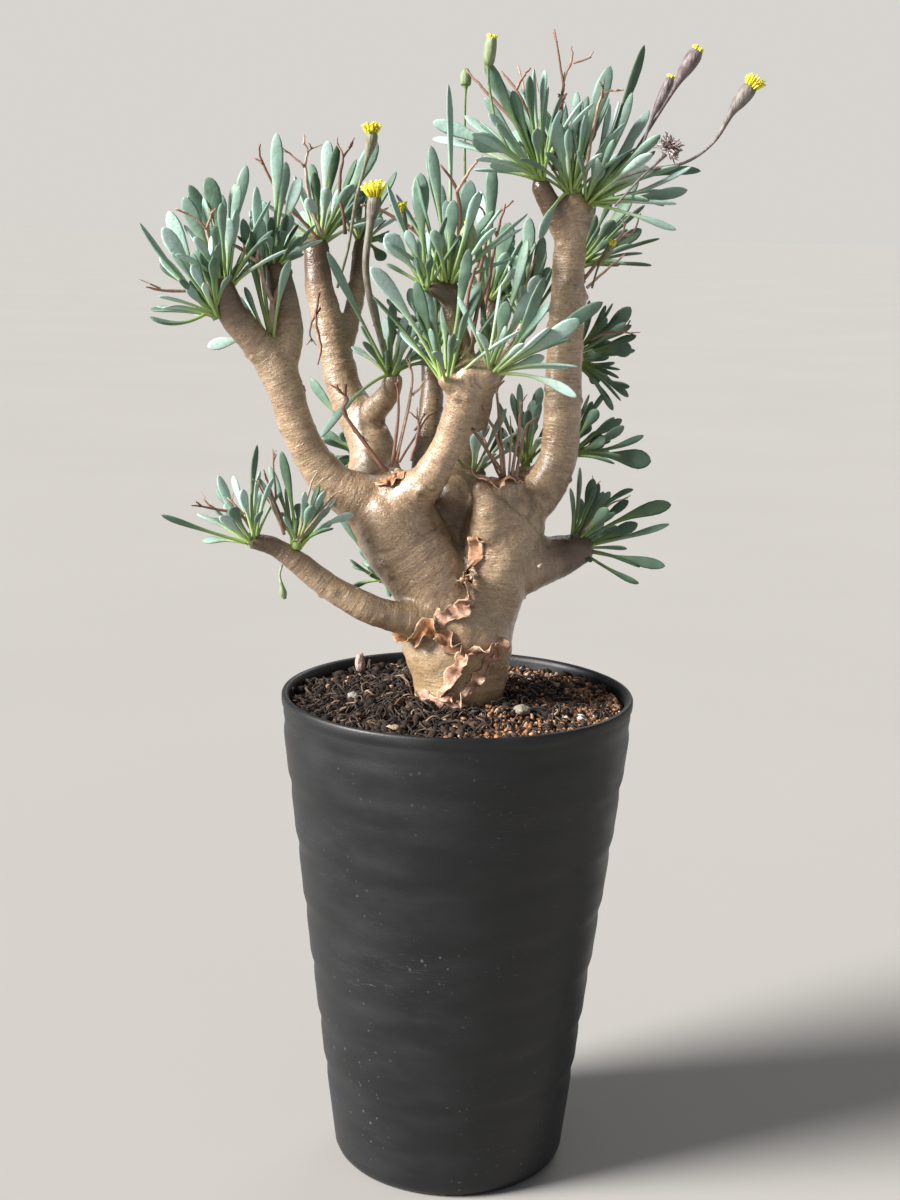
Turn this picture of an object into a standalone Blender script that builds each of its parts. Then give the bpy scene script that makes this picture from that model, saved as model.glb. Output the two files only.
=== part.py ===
"""A shrubby caudex succulent in a tall black nursery pot.

Metres, +Z up. The origin is the middle of the pot's flat base, and the camera side of the plant is -Y.
"""

import math

import bmesh
import bpy
import numpy as np
from mathutils import Matrix, Vector
from mathutils.bvhtree import BVHTree

MM = 0.001

# Driving dimensions, in millimetres.
POT_HEIGHT = 133.0
POT_RIM_RADIUS = 47.6
POT_NECK_RADIUS = 47.1
POT_FOOT_RADIUS = 31.8
POT_TAPER = 0.1245
NECK_HEIGHT = (POT_NECK_RADIUS - POT_FOOT_RADIUS) / POT_TAPER
POT_STEPS = 36
POT_WALL = 1.6
POT_FLOOR = 2.5
FOOT_ROUNDING = 3.0
LIP_HEIGHT = 3.0
RING_HEIGHTS = (26.0, 40.0, 56.0, 73.0, 91.0, 108.0, 125.0)
RING_DEPTH = 0.5
RING_REACH = 3.5
DRAIN_HOLES = 5
DRAIN_RADIUS = 3.0
DRAIN_CIRCLE = 17.0
SOIL_EDGE = 130.0
SOIL_MIDDLE = 131.0
STEM_FOOT = (0.5, -1.0)
STEM_FOOT_RADIUS = 11.8
STEM_FOOT_DEPTH = 116.0
GAP = 0.35
BUD_RADIUS = 1.8
LEAF_THICKNESS = 1.2
PETIOLE_RADIUS = 0.5

# The woody stem, limb by limb from the root up: (x, y, z, radius) along each limb.
LIMBS = {
    "trunk": [(0.5, -1, 117, 9.5), (0.5, -1, 124, 11), (0.5, -1, 131, 11.8), (0.5, -1, 138, 13),
              (0, -1, 145, 14.7), (-0.5, -1, 151, 14.6)],
    "trunk_back": [(0, 4, 150, 11), (-2, 6, 165, 10), (-2, 7, 178, 9), (-2, 7, 186, 6)],
    "left_shoulder": [(-2, -1, 149, 13), (-4.5, -2, 158, 11.3), (-9, -3, 166, 11), (-14.5, -3, 174, 11.5),
                      (-18.5, -4, 181, 11.2)],
    "right_shoulder": [(3, 0, 149, 12), (6, 0, 158, 10.4), (9, 0, 167, 10.8), (11, 0, 175, 11),
                       (12, 0, 181, 10.4)],
    "left_limb": [(-19, -4, 182, 9.5), (-27, -6, 186, 7), (-33.5, -7, 189.5, 5.7), (-39.5, -8, 197.5, 4.7),
                  (-43.5, -9, 206.5, 4.6), (-46, -10, 214.5, 4.8), (-49, -10, 221.5, 5.1)],
    "left_fork_outer": [(-49, -10, 221.5, 4.7), (-54, -12, 227, 4.2), (-58.5, -14, 232.5, 3.8),
                        (-61.5, -15.5, 239.5, 3.6)],
    "left_fork_inner": [(-47.5, -10, 219.5, 4.3), (-45.5, -8, 227.5, 4.1), (-46.5, -6, 235, 3.8),
                        (-48.5, -4, 244, 3.5)],
    "rear_limb": [(-19, 0, 182, 9), (-23, 6.5, 189, 7.5), (-24.5, 12, 196.5, 6.3),
                  (-27.5, 15.5, 203.5, 5.7), (-32, 18, 210.5, 5.1), (-34.5, 19.5, 218.5, 4.6),
                  (-37, 21, 228.5, 4.3), (-40, 22.5, 239.5, 3.9), (-41, 24, 250, 3.6)],
    "rear_twig": [(-33.5, 20.5, 221.5, 2.8), (-30.5, 27, 235.5, 2.6), (-29, 32, 251, 2.5)],
    "rear_spur": [(-26.5, 13.5, 204.5, 4.2), (-20.5, 9, 211.5, 3.2), (-19, 7, 215.5, 2.8)],
    "front_limb": [(-17, -5, 184, 9), (-12, -9, 188.5, 6.2), (-8.5, -12, 192.5, 4.8),
                   (-4.5, -14.5, 200, 4.1), (-1.5, -16.5, 208, 4.2), (0.5, -18, 214.5, 4.8),
                   (1.5, -20, 219.5, 4.5)],
    "front_knob_left": [(-0.5, -19, 216.5, 3.9), (-3.5, -20.5, 218.5, 3.3)],
    "front_knob_right": [(2, -19, 217, 3.9), (5.5, -20.5, 219.5, 3.5)],
    "olive_shoot": [(1, -19, 219, 3.3), (-0.5, -17.5, 226.5, 2.7), (-3, -17, 234.5, 2.6),
                    (-4.5, -16, 241, 2.6)],
    "olive_shoot_node": [(-3.5, -17, 238.5, 2.5), (-8, -20, 241, 2.1)],
    "middle_shoot": [(-6, 7, 183, 5), (-1.5, 13.5, 191.5, 3.8), (3.5, 14, 204.5, 3.2),
                     (5.5, 15, 216.5, 3.1), (7, 15.5, 227.5, 3.1), (6.5, 17, 235.5, 3)],
    "pale_shoot": [(-10, 10, 186, 5), (-10, 19.5, 196.5, 3.6), (-9, 24.5, 209, 3.3), (-9.5, 28, 221, 2.9)],
    "right_limb": [(9, 0, 179, 10), (15, 1, 183, 7.6), (21.5, 2, 188, 5.7), (25, 2, 196, 5.1),
                   (26, 2, 207, 5), (26, 2, 223, 4.9), (26.5, 2, 238, 4.5), (26.5, 2, 250, 4.2),
                   (26.5, 1, 262, 3.8)],
    "right_limb_bump": [(27, 2, 238, 3.5), (31, 2.5, 239.5, 2.2)],
    "crown_fork_left": [(26, 1, 253, 3.4), (22, -1, 260, 3), (18.5, -2.5, 266.5, 2.7)],
    "crown_fork_right": [(27, 2, 253, 3.2), (30, 3, 260.5, 2.8)],
    "hidden_shoot": [(14, 8, 180, 5), (22, 17, 189.5, 3.6), (26.5, 21, 204.5, 3), (28, 23.5, 221.5, 2.8),
                     (28.5, 25, 235.5, 2.7), (30, 27, 243.5, 2.5)],
    "right_stub": [(12, 0, 166.5, 8.5), (20.5, 2, 168.5, 7), (27, 4, 170, 5.6), (31.5, 5, 171.5, 4.6)],
    "dry_stub": [(8, -6, 178, 6), (7, -9, 186, 4.6), (5, -10, 190, 3.2)],
    "dry_saddle": [(4, -10, 190, 2.6), (9, -9, 189.5, 2.8), (14.5, -7, 190.5, 2.4)],
    "low_branch": [(-5, -7, 152, 7), (-12, -11.5, 154.5, 5), (-18, -14.5, 156.5, 4.2),
                   (-25, -17, 159.5, 3.9), (-34.5, -18, 165, 3.4), (-41.5, -19.5, 171, 3.1),
                   (-47.5, -20.5, 175, 2.6), (-52, -22, 176.5, 2.3)],
    "rear_stub_low": [(-10, 4, 158, 4), (-17, 13, 160.5, 3), (-20.5, 18, 160.5, 2.5)],
    "rear_stub_left": [(-21, 6, 188, 5), (-25, 19, 191.5, 3.2), (-27.5, 28, 193, 2.5)],
    "rear_stub_middle": [(0, 5, 183, 4), (4, 13, 190.5, 2.6)],
    "rear_stub_right": [(14, 6, 182, 5), (17, 18, 190, 2.8)],
}

# Each rosette: where it sprouts, then its leaves as the tip's place from there and the blade's width.
ROSETTES = {
    "rosette_left_outer": ((-63, -16, 234.5), [
        (-19, -2, 22, 1.5), (-16, -6, -2, 2), (-15, 5, 12, 3), (-13, -3, 21, 4), (-13, 6, 25, 4),
        (-10, -7, 14, 1.5), (-6, -9, 7, 2), (-7, 9, -2, 2.5), (0, -9, 18, 1.5)]),
    "rosette_left_top": ((-61, -14, 240.5), [
        (-10, -3, 22, 4), (-10, 6, 25, 3.5), (-6, 3, 22, 2), (-5, 4, 27, 4.5), (-3, 0, 16, 3),
        (2, -8, 17, 3), (4, -4, 25, 2.5), (6, 2, 30, 3)]),
    "rosette_left_fork": ((-50, -17, 224.5), [
        (-3, -2, 38, 2.5), (-17, 9, -4, 3), (-7, 3, 29, 2.5), (-2, 4, 26, 2.5), (-9, 6, 10, 2)]),
    "rosette_left_inner": ((-49.5, -3, 246), [
        (-5, -6, 11, 4), (1, 0, 33, 3.5), (3, 4, 26, 3), (7, 1, 22, 3.5), (2, -9, 7, 2), (8, -3, 4, 3),
        (-5, 5, 14, 2.5), (4, 7, 12, 3)]),
    "rosette_rear_top": ((-40, 24, 252), [
        (-3, 6, 20, 3), (2, 0, 26, 3), (5, -4, 24, 2.5), (10, -6, 20, 2), (15, 2, 26, 4.5),
        (6, 4, 14, 3.5), (-6, 5, 7, 3.5), (-10, 3, 0, 3), (8, 8, 6, 3.5)]),
    "rosette_rear_twig": ((-29, 32, 253), [
        (2, 2, 14, 3), (5, 3, 6, 3), (8, 2, 17, 2), (-5, 4, 8, 3), (7, -3, -1, 3.5)]),
    "rosette_rear_spur": ((-19, 7, 218), [
        (-17, -3, 31, 2.5), (-6, -2, 21, 2), (0, 2, 18, 2.5), (12, -5, 5, 2), (-18, -9, -16, 2.5),
        (6, 6, 13, 2.5), (-11, 6, 7, 2)]),
    "rosette_front_left": ((-5, -21, 219), [
        (-19, -6, 28, 4.5), (-8, -2, 24, 3), (4, -8, 10, 2), (5, -5, 32, 3.5), (8, 2, 25, 3)]),
    "rosette_front_right": ((7, -21, 222), [
        (4, -5, 17, 4), (-10, -7, 18, 2), (12, -4, 23, 2.5), (22, -5, 13, 4), (22, -7, -6, 2.5),
        (13, 2, 3, 2.5), (9, 3, 33, 2.5), (17, -1, 10, 1.5)]),
    "rosette_olive_node": ((-9.5, -20, 243.5), [
        (-11, -4, 11, 5), (-11, 2, 24, 1.5), (-6, -3, 12, 2.5), (-2, 6, 26, 4.5)]),
    "rosette_olive_top": ((-5, -16, 242.5), [
        (-4, -2, 34, 3), (-6, 5, 32, 2.5), (-1, 1, 20, 3), (2, -6, 20, 3.5), (6, 3, 26, 4.5),
        (-1, 3, 50, 1.5), (8, 6, 14, 3)]),
    "rosette_middle": ((6, 17, 237.5), [
        (0, 0, 34, 3), (5, -3, 20, 5), (11, -5, 14, 2.5), (-3, 5, 28, 3), (4, 5, 12, 3), (13, 4, 7, 4)]),
    "rosette_crown_left": ((18, -3, 270), [
        (-15, -2, 27, 3.5), (-12, 4, 24, 2.5), (-9, 6, 21, 3), (-7, 0, 20, 3), (-13, -5, 14, 2.5),
        (1, -2, 25, 2), (-19, 7, 14, 2.5), (-27, 2, 12, 3.5), (-28, 5, 8, 2.5), (-18, -8, 7, 5)]),
    "rosette_crown_top": ((26, 0, 266), [
        (-21, -8, 5, 2.5), (-5, -9, 16, 4.5), (1, 2, 25, 2.5), (4, 5, 24, 2), (9, -2, 31, 4),
        (-8, -12, -12, 2.5), (6, 5, 17, 3)]),
    "rosette_crown_right": ((31, 3, 264), [
        (13, 3, 38, 2.5), (10, -1, 26, 2.5), (15, 4, 22, 3), (12, 8, 17, 2.5), (16, -6, 15, 2),
        (15, -5, 7, 3.5), (29, 4, 8, 2), (25, -3, 2, 2.5), (20, 4, -2, 1.5), (22, -8, -7, 1.5)]),
    "rosette_right_upper": ((31, 26, 248), [
        (15, 3, 21, 2.5), (13, -2, 16, 2.5), (15, 0, 8, 3), (6, 3, 1, 2)]),
    "rosette_right_middle": ((31, 27, 221), [
        (14, 0, 14, 4), (7, -3, 7, 4), (15, 2, 2, 4.5), (15, 4, -8, 2), (6, 0, -6, 2.5), (15, 6, -10, 2)]),
    "rosette_right_lower": ((30.5, 23, 196), [
        (14, 5, 9, 2.5), (13, -2, 7, 2.5), (8, -4, 4, 4), (19, 3, 5, 2), (21, 0, -2, 5)]),
    "rosette_right_stub": ((31, 7, 173), [
        (4, -2, 18, 3), (15, 0, 15, 1.5), (25, -3, 11.5, 4), (16, 5, 5, 3.5), (25, -1, 6, 2),
        (24, -4, -5, 3), (17, -6, -9.5, 1.5)]),
    "rosette_low_branch": ((-41.5, -20, 177), [
        (-10, -2, 16, 2), (-4, -3, 23, 2.5), (-8, 5, 18, 2), (0, 2, 9, 2.5), (4, 4, 11, 1.5),
        (6, 6, 9, 1.5), (14, 4, 6, 2)]),
    "rosette_low_tip": ((-54, -22, 177.5), [
        (-7, -1, 17, 2.5), (-22, -4, 6, 1.5), (-13, 5, -2, 2), (-6, 3, 8, 2), (2, -2, 24, 1.5)]),
    "rosette_rear_low": ((-22.5, 18, 160.5), [
        (-11, -2, 18, 2), (-7, 2, -3, 1.5), (-2, 3, 8, 2)]),
    "rosette_rear_left": ((-27.5, 30, 193.5), [
        (-8, -3, -2, 3), (-12, 2, 5, 3), (-3, -4, -6, 3.5), (-16, 5, 20, 2)]),
    "rosette_rear_pale": ((-9.5, 28, 224), [
        (-2, -3, 10, 4.5), (-12, 2, 12, 2.5), (-6, 5, 14, 3.5)]),
    "rosette_rear_middle": ((5, 14, 194.5), [
        (10, 3, 18, 2), (-4, -2, 4, 1.5), (2, 5, 17, 2)]),
    "rosette_rear_right": ((17, 19, 194), [
        (3, 3, 19, 3), (-4, 5, 18, 2), (-2, 2, 20, 2)]),
}

# Each flower or bud on its stalk, from the stalk's foot to the florets: (x, y, z, radius).
FLOWERS = {
    "flower_right": [(36, -4, 268, 0.5), (44, -6, 271, 0.5), (54, -7, 273, 0.5), (61, -7, 278, 0.6),
                     (65, -7, 285, 1.2), (67.5, -7, 288.5, 2.1), (69.5, -7, 291, 2.4),
                     (70.5, -7, 292.5, 1.4)],
    "bud_right_tall": [(38, 8, 268, 0.5), (44, 8, 278, 0.5), (50, 8, 288, 0.6), (54, 8, 295, 1.3),
                       (56.5, 8, 299, 2.2), (58, 8, 302, 1.6)],
    "bud_right_short": [(40, 3, 268, 0.5), (44, 2, 277, 0.6), (47, 2, 284, 1.1), (50.5, 2, 294, 1.2)],
    "flower_rear": [(-34.5, 14, 239.5, 0.5), (-31.5, 11, 250, 0.5), (-29.5, 9, 262, 0.6),
                    (-27, 8, 271.5, 1.4), (-26, 8, 276.5, 2), (-25.5, 8, 279, 2.4),
                    (-25.5, 8, 280.5, 1.4)],
    "flower_front": [(-21, -5, 224, 0.6), (-24, -10, 236, 0.8), (-25.5, -12, 246, 0.9),
                     (-24.5, -12, 256, 1), (-24, -12, 260, 1.9), (-23.5, -12, 263, 2.7),
                     (-23.5, -12, 265.5, 2.2)],
    "bud_olive_tall": [(10, -6, 275, 0.5), (6.5, -6, 282, 0.6), (4.5, -6, 291, 0.8), (4, -6, 295, 1.7),
                       (4.5, -6, 300.5, 1.6), (5, -6, 302.5, 0.9)],
    "bud_round": [(-1, 22, 264, 0.5), (-1.5, 21, 280.5, 0.5), (-1.5, 20, 291, 0.5), (-1.5, 20, 293, 1.4),
                  (-1.5, 20, 295.5, 1.4), (-1.5, 20, 297, 0.7)],
    "bud_hanging": [(-45.5, -21, 170.5, 0.3), (-46, -22, 168, 0.3), (-45.5, -23, 166, 0.6),
                    (-45, -23, 163.5, 1), (-44.5, -23, 162, 0.5)],
    "seed_head": [(37, -8, 262, 0.4), (42, -11, 268, 0.4), (46, -12, 272, 0.8), (48.5, -12, 275, 3),
                  (50.5, -12, 277.5, 2.6)],
}

# Each cluster of dead forked flower stalks: the scar it grows from, then each stalk as (x, y, z) points.
DEAD_STALKS = {
    "dead_stalks_fork": ((-18, -6, 192), [
        [(-18, -6, 192), (-16.5, -7, 203), (-15.5, -8, 215)],
        [(-17.5, -6, 192), (-14.5, -6, 205), (-12.5, -5.5, 212), (-12, -5, 218)],
        [(-12.5, -5.5, 211.5), (-9.5, -5.5, 214)],
        [(-18.5, -6, 192), (-24, -7, 199), (-30, -7, 206), (-29.5, -7, 211), (-31, -7, 214)]]),
    "dead_stalks_saddle": ((11, -9, 195), [
        [(9, -10, 194), (8, -10, 200), (2, -12, 206)],
        [(10, -10, 192), (9.5, -12, 204), (9, -14, 213.5), (10.5, -15, 217.5)],
        [(9, -14, 213), (8, -15.5, 216.5)],
        [(11, -10, 192), (14, -9, 203), (15.5, -9, 213)]]),
    "dead_stalks_left_outer": ((-63.5, -19, 238.5), [
        [(-63.5, -19.5, 238.5), (-65.5, -21, 249), (-65.5, -21, 255), (-71.5, -21, 260)],
        [(-65.5, -21, 255), (-63.5, -21, 260)]]),
    "dead_stalks_rear": ((-44, 19, 250), [
        [(-44, 19, 250), (-50, 16, 260), (-55.5, 15, 270.5), (-57.5, 15, 274.5)],
        [(-55.5, 15, 270.5), (-53.5, 15, 275.5)],
        [(-44, 19, 250), (-43.5, 17, 265), (-43.5, 17, 273.5), (-45, 17, 277.5)],
        [(-43.5, 17, 272.5), (-41, 17, 276.5)]]),
    "dead_stalks_crown": ((22, -6, 263), [
        [(22, -6, 264), (23, -6, 276), (24.5, -6, 290), (27.5, -6, 296), (27, -6, 301)],
        [(27.5, -6, 296), (32, -6, 298)],
        [(24.5, -6, 290), (22, -6, 303)]]),
    "dead_stalks_right": ((34, 6, 258), [
        [(34, 6, 258), (36, 11, 252), (40.5, 12, 252), (43, 12, 256)]]),
    "dead_stalks_low_tip": ((-48, -22, 178.5), [
        [(-48, -22, 179.5), (-55, -24, 183.5), (-62, -25, 185.5), (-67, -25, 186)],
        [(-48, -22, 179.5), (-53, -23, 184.5), (-54, -23, 188)]]),
}

# Each curled strip of peeling bark: half its width, how far off the stem it stands, and where it runs.
BARK_STRIPS = {
    "bark_ring": (1.3, 2.7, [
        (-15, -9, 152.5), (-11, -12, 153.5), (-7, -14, 153), (-3, -15, 150.5), (0.5, -15, 148)]),
    "bark_loop": (1.2, 1.4, [
        (11.5, -11, 148.5), (9.5, -12, 146), (6, -14, 147.5), (2.5, -15, 147.5), (-0.5, -15, 144.5),
        (-3.5, -15, 139), (-3.5, -14, 135), (-0.5, -14, 133.3), (3, -14, 136), (5.5, -14, 141),
        (7, -13, 143.5)]),
    "bark_upper": (1.4, 1.6, [
        (2, -12, 177), (1, -13, 172), (3.5, -13, 166), (2.5, -14, 161), (-2, -14, 159), (-6.5, -13, 157)]),
}

# Stones that lie on the potting mix: (x, y, half length, half width, half height).
STONES = {
    "stone_grey_round": (-28, -5, 1.9, 1.7, 1.4),
    "stone_pink_upright": (-28, 27, 1.7, 1.5, 3.2),
    "stone_olive": (17, -16, 2.8, 2.2, 1.6),
    "stone_white": (32.5, -18, 1.4, 1.2, 0.9),
    "stone_tan_flat": (-16, -32, 2.4, 1.6, 0.8),
}


def finish(name, colour, roughness):
    """A material with the part's plain colour and roughness."""
    material = bpy.data.materials.new(name)
    material.use_nodes = True
    shader = material.node_tree.nodes["Principled BSDF"]
    shader.inputs["Base Color"].default_value = (*colour, 1)
    shader.inputs["Roughness"].default_value = roughness
    shader.inputs["Metallic"].default_value = 0
    return material


def collection(name):
    made = bpy.data.collections.new(name)
    bpy.context.scene.collection.children.link(made)
    return made


def mm(point):
    return Vector(point[:3]) * MM


def place(name, bm, home, material):
    """The bmesh as an object of this name, with its normals turned out."""
    bmesh.ops.recalc_face_normals(bm, faces=bm.faces)
    mesh = bpy.data.meshes.new(name)
    bm.to_mesh(mesh)
    bm.free()
    mesh.shade_smooth()
    mesh.materials.append(material)
    made = bpy.data.objects.new(name, mesh)
    home.objects.link(made)
    return made


def helper(name, bm):
    """The bmesh as a guide or cutter, which no render shows."""
    made = place(name, bm, cutters, hidden)
    made.hide_render = True
    made.display_type = "WIRE"
    return made


def join(target, other):
    """Joins the other object to the target, as one closed body."""
    union = target.modifiers.new("join", "BOOLEAN")
    union.operation = "UNION"
    union.solver = "EXACT"
    union.use_self = True
    union.object = other


def smooth_path(points, cuts):
    """The points with cuts more between each two, all on one Catmull-Rom curve. Sizes follow too."""
    knots = np.array([points[0], *points, points[-1]], float)
    knots[0] = 2 * knots[1] - knots[2]
    knots[-1] = 2 * knots[-2] - knots[-3]
    path = []
    for before, start, end, after in zip(knots, knots[1:], knots[2:], knots[3:]):
        for t in np.arange(0, 1, 1 / (cuts + 1)):
            bend = (end - before) * t + (2 * before - 5 * start + 4 * end - after) * t**2
            path.append(start + (bend + (3 * start - before - 3 * end + after) * t**3) / 2)
    return [*path, knots[-2]]


def sweep(bm, sections, sides):
    """A closed rod. Each section is a centre, a vector across it and a vector through it, in metres."""
    rod = bmesh.new()
    spans = len(sections) - 1
    bmesh.ops.create_cone(rod, cap_ends=True, segments=sides, radius1=1, radius2=1, depth=spans)
    if spans > 1:
        long_edges = [edge for edge in rod.edges if abs(edge.verts[0].co.z - edge.verts[1].co.z) > 0.5]
        bmesh.ops.subdivide_edges(rod, edges=long_edges, cuts=spans - 1)
    for vert in rod.verts:
        centre, across, through = sections[round(vert.co.z + spans / 2)]
        vert.co = centre + across * vert.co.y + through * vert.co.x
    bmesh.ops.remove_doubles(rod, verts=rod.verts, dist=1e-6)
    bmesh.ops.recalc_face_normals(rod, faces=rod.faces)
    joined = bpy.data.meshes.new("rod")
    rod.to_mesh(joined)
    rod.free()
    bm.from_mesh(joined)
    bpy.data.meshes.remove(joined)


def tube(bm, points, cuts, sides):
    """A round rod along points of (x, y, z, radius) in millimetres."""
    path = smooth_path(points, cuts)
    centres = [mm(point) for point in path]
    across = Vector((0.3, 1, 0.1))
    sections = []
    for i, point in enumerate(path):
        ahead = (centres[min(i + 1, len(path) - 1)] - centres[max(i - 1, 0)]).normalized()
        across = (across - ahead * across.dot(ahead)).normalized()
        sections.append((centres[i], across * point[3] * MM, ahead.cross(across) * point[3] * MM))
    sweep(bm, sections, sides)


def ball(bm, centre, radii):
    """A coarse ellipsoid."""
    made = bmesh.ops.create_icosphere(bm, subdivisions=1, radius=1)
    for vert in made["verts"]:
        vert.co = centre + Vector([a * b * MM for a, b in zip(vert.co, radii)])


def lathe(name, profile, material):
    """A turned solid: the profile, as (radius, height) from the outside in, spun round the Z axis."""
    bm = bmesh.new()
    verts = [bm.verts.new((radius * MM, 0, height * MM)) for radius, height in profile]
    edges = [bm.edges.new(pair) for pair in zip(verts, verts[1:])]
    bmesh.ops.spin(
        bm, geom=verts + edges, axis=(0, 0, 1), cent=(0, 0, 0), angle=2 * math.pi, steps=POT_STEPS)
    bmesh.ops.remove_doubles(bm, verts=bm.verts, dist=1e-6)
    return place(name, bm, plant, material)


def wall_radius(height):
    """The pot's outer radius between its rings: a straight taper up to the neck, then upright."""
    return POT_FOOT_RADIUS + POT_TAPER * min(height, NECK_HEIGHT)


def inner_radius(height):
    """The pot's inner radius at a height."""
    return wall_radius(height) - POT_WALL


def make_pot():
    """A thin tapered plastic shell with a lip, rings pressed in its wall, and drain holes round its floor."""
    outer = [(0, 0), (POT_FOOT_RADIUS - FOOT_ROUNDING, 0), (POT_FOOT_RADIUS - 1, 0.9),
             (wall_radius(FOOT_ROUNDING), FOOT_ROUNDING)]
    for ring in RING_HEIGHTS:
        outer += [(wall_radius(ring - RING_REACH), ring - RING_REACH), (wall_radius(ring) - RING_DEPTH, ring),
                  (wall_radius(ring + RING_REACH), ring + RING_REACH)]
    lip = [(wall_radius(POT_HEIGHT - LIP_HEIGHT), POT_HEIGHT - LIP_HEIGHT),
           (POT_RIM_RADIUS, POT_HEIGHT - LIP_HEIGHT + 0.5), (POT_RIM_RADIUS, POT_HEIGHT - 0.5),
           (POT_RIM_RADIUS - 0.6, POT_HEIGHT), (POT_RIM_RADIUS - 1.4, POT_HEIGHT),
           (inner_radius(POT_HEIGHT), POT_HEIGHT - 0.8)]
    inner = [(inner_radius(NECK_HEIGHT), NECK_HEIGHT), (inner_radius(POT_FLOOR), POT_FLOOR), (0, POT_FLOOR)]
    pot = lathe("pot", outer + lip + inner, plastic)
    drills = bmesh.new()
    for hole in range(DRAIN_HOLES):
        angle = 2 * math.pi * hole / DRAIN_HOLES
        made = bmesh.ops.create_cone(
            drills, cap_ends=True, segments=12, radius1=DRAIN_RADIUS * MM, radius2=DRAIN_RADIUS * MM,
            depth=4 * POT_FLOOR * MM)
        centre = mm((DRAIN_CIRCLE * math.cos(angle), DRAIN_CIRCLE * math.sin(angle), POT_FLOOR / 2))
        bmesh.ops.translate(drills, verts=made["verts"], vec=centre)
    cut = pot.modifiers.new("drain", "BOOLEAN")
    cut.operation = "DIFFERENCE"
    cut.solver = "EXACT"
    cut.object = helper("drain_drills", drills)


def make_potting_mix():
    """The mix fills the pot to just under its lip, with a socket that the stem's foot stands in."""
    floor = POT_FLOOR + GAP
    mix = lathe("potting_mix", [
        (0, floor), (inner_radius(floor) - GAP, floor), (inner_radius(NECK_HEIGHT) - GAP, NECK_HEIGHT),
        (inner_radius(SOIL_EDGE) - GAP, SOIL_EDGE), (18, SOIL_MIDDLE), (0, SOIL_MIDDLE)], soil)
    socket = bmesh.new()
    x, y = STEM_FOOT
    tube(socket, [(x, y, STEM_FOOT_DEPTH - 1, STEM_FOOT_RADIUS - 1.5), (x, y, 124, STEM_FOOT_RADIUS + 0.4),
                  (x, y, SOIL_MIDDLE + 4, STEM_FOOT_RADIUS + 2.2)], 0, 28)
    cut = mix.modifiers.new("socket", "BOOLEAN")
    cut.operation = "DIFFERENCE"
    cut.solver = "EXACT"
    cut.object = helper("stem_socket", socket)


def make_caudex():
    """All limbs flow into one another: overlapping rods, melted into one skin, then smoothed and thinned."""
    bm = bmesh.new()
    for limb in LIMBS.values():
        tube(bm, limb, 3, 14)
        ball(bm, mm(limb[-1]), (limb[-1][3],) * 3)
    caudex = place("caudex", bm, plant, bark)
    melt = caudex.modifiers.new("melt", "REMESH")
    melt.mode = "VOXEL"
    melt.voxel_size = 0.9 * MM
    soften = caudex.modifiers.new("soften", "SMOOTH")
    soften.factor = 0.5
    soften.iterations = 6
    thin = caudex.modifiers.new("thin", "DECIMATE")
    thin.ratio = 0.04
    return caudex


def tree_of(made):
    """What the object fills now, to keep other pieces clear of it."""
    return BVHTree.FromObject(made, bpy.context.evaluated_depsgraph_get())


def seat(point, height):
    """The place that stands this high, in millimetres, on the bark nearest to the point."""
    touch, normal, _, _ = bark_tree.find_nearest(mm(point))
    return touch + normal * height * MM


def make_stone(name, x, y, length, width, height):
    """A pebble that lies on the mix."""
    bm = bmesh.new()
    slope = (SOIL_MIDDLE - SOIL_EDGE) * max(0, 1 - math.hypot(x, y) / 46)
    ball(bm, mm((x, y, SOIL_EDGE + slope + height + GAP + 0.3)), (length, width, height))
    return place(name, bm, plant, stone)


def make_bark_strip(name, half_width, height, guide):
    """A dry strip that follows the stem a hair off it."""
    path = [seat(point, height) for point in smooth_path(guide, 1)]
    bm = bmesh.new()
    sections = []
    for i, centre in enumerate(path):
        ahead = (path[min(i + 1, len(path) - 1)] - path[max(i - 1, 0)]).normalized()
        normal = bark_tree.find_nearest(centre)[1]
        across = ahead.cross(normal).normalized()
        taper = 0.45 if i in (0, len(path) - 1) else 1
        sections.append((centre, across * half_width * taper * MM, across.cross(ahead) * 0.35 * MM))
    sweep(bm, sections, 6)
    return place(name, bm, plant, dry_bark)


def make_dead_stalks(name, scar, stalks):
    """Forked stalks of past flowers, all from one woody scar."""
    foot = bmesh.new()
    ball(foot, seat(scar, 1.9), (1.5, 1.5, 1.5))
    root = bark_tree.find_nearest(mm(scar))
    made = place(name, foot, plant, dry_stalk)
    shoots = bmesh.new()
    for stalk in stalks:
        thick = 0.55 if stalk[0][2] - scar[2] < 3 else 0.4
        points = [(*point, thick - 0.12 * i / len(stalk)) for i, point in enumerate(stalk)]
        if thick > 0.5:
            start = (root[0] + root[1] * 1.9 * MM) / MM
            points[0] = (*start, thick)
        tube(shoots, points, 1, 5)
    join(made, helper(name + "_shoots", shoots))
    return made


def make_flower(name, points):
    """A stalk that swells into its flower head or bud."""
    bm = bmesh.new()
    tube(bm, points, 1, 6)
    return place(name, bm, plant, flower)


def leaf(bm, sprout, tip, half_width, margin):
    """A spatulate leaf from its sprout to its tip: thin stalk, wide blade, short point. Metres."""
    along = tip - sprout
    length = along.length + margin
    along.normalize()
    facing = Vector((0.2, -1, 0.25))
    across = along.cross(facing).normalized()
    through = along.cross(across)
    stalk = PETIOLE_RADIUS * MM
    outline = ((0, stalk), (0.45, stalk), (0.8, half_width), (1, 0))
    sections = []
    for place_along, wide in outline:
        thick = LEAF_THICKNESS * MM / 2 if wide else 0
        grow = margin if wide else 0
        centre = sprout + along * length * place_along
        sections.append((centre, across * (wide + grow), through * (thick + grow)))
    sweep(bm, sections, 4)


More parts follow.
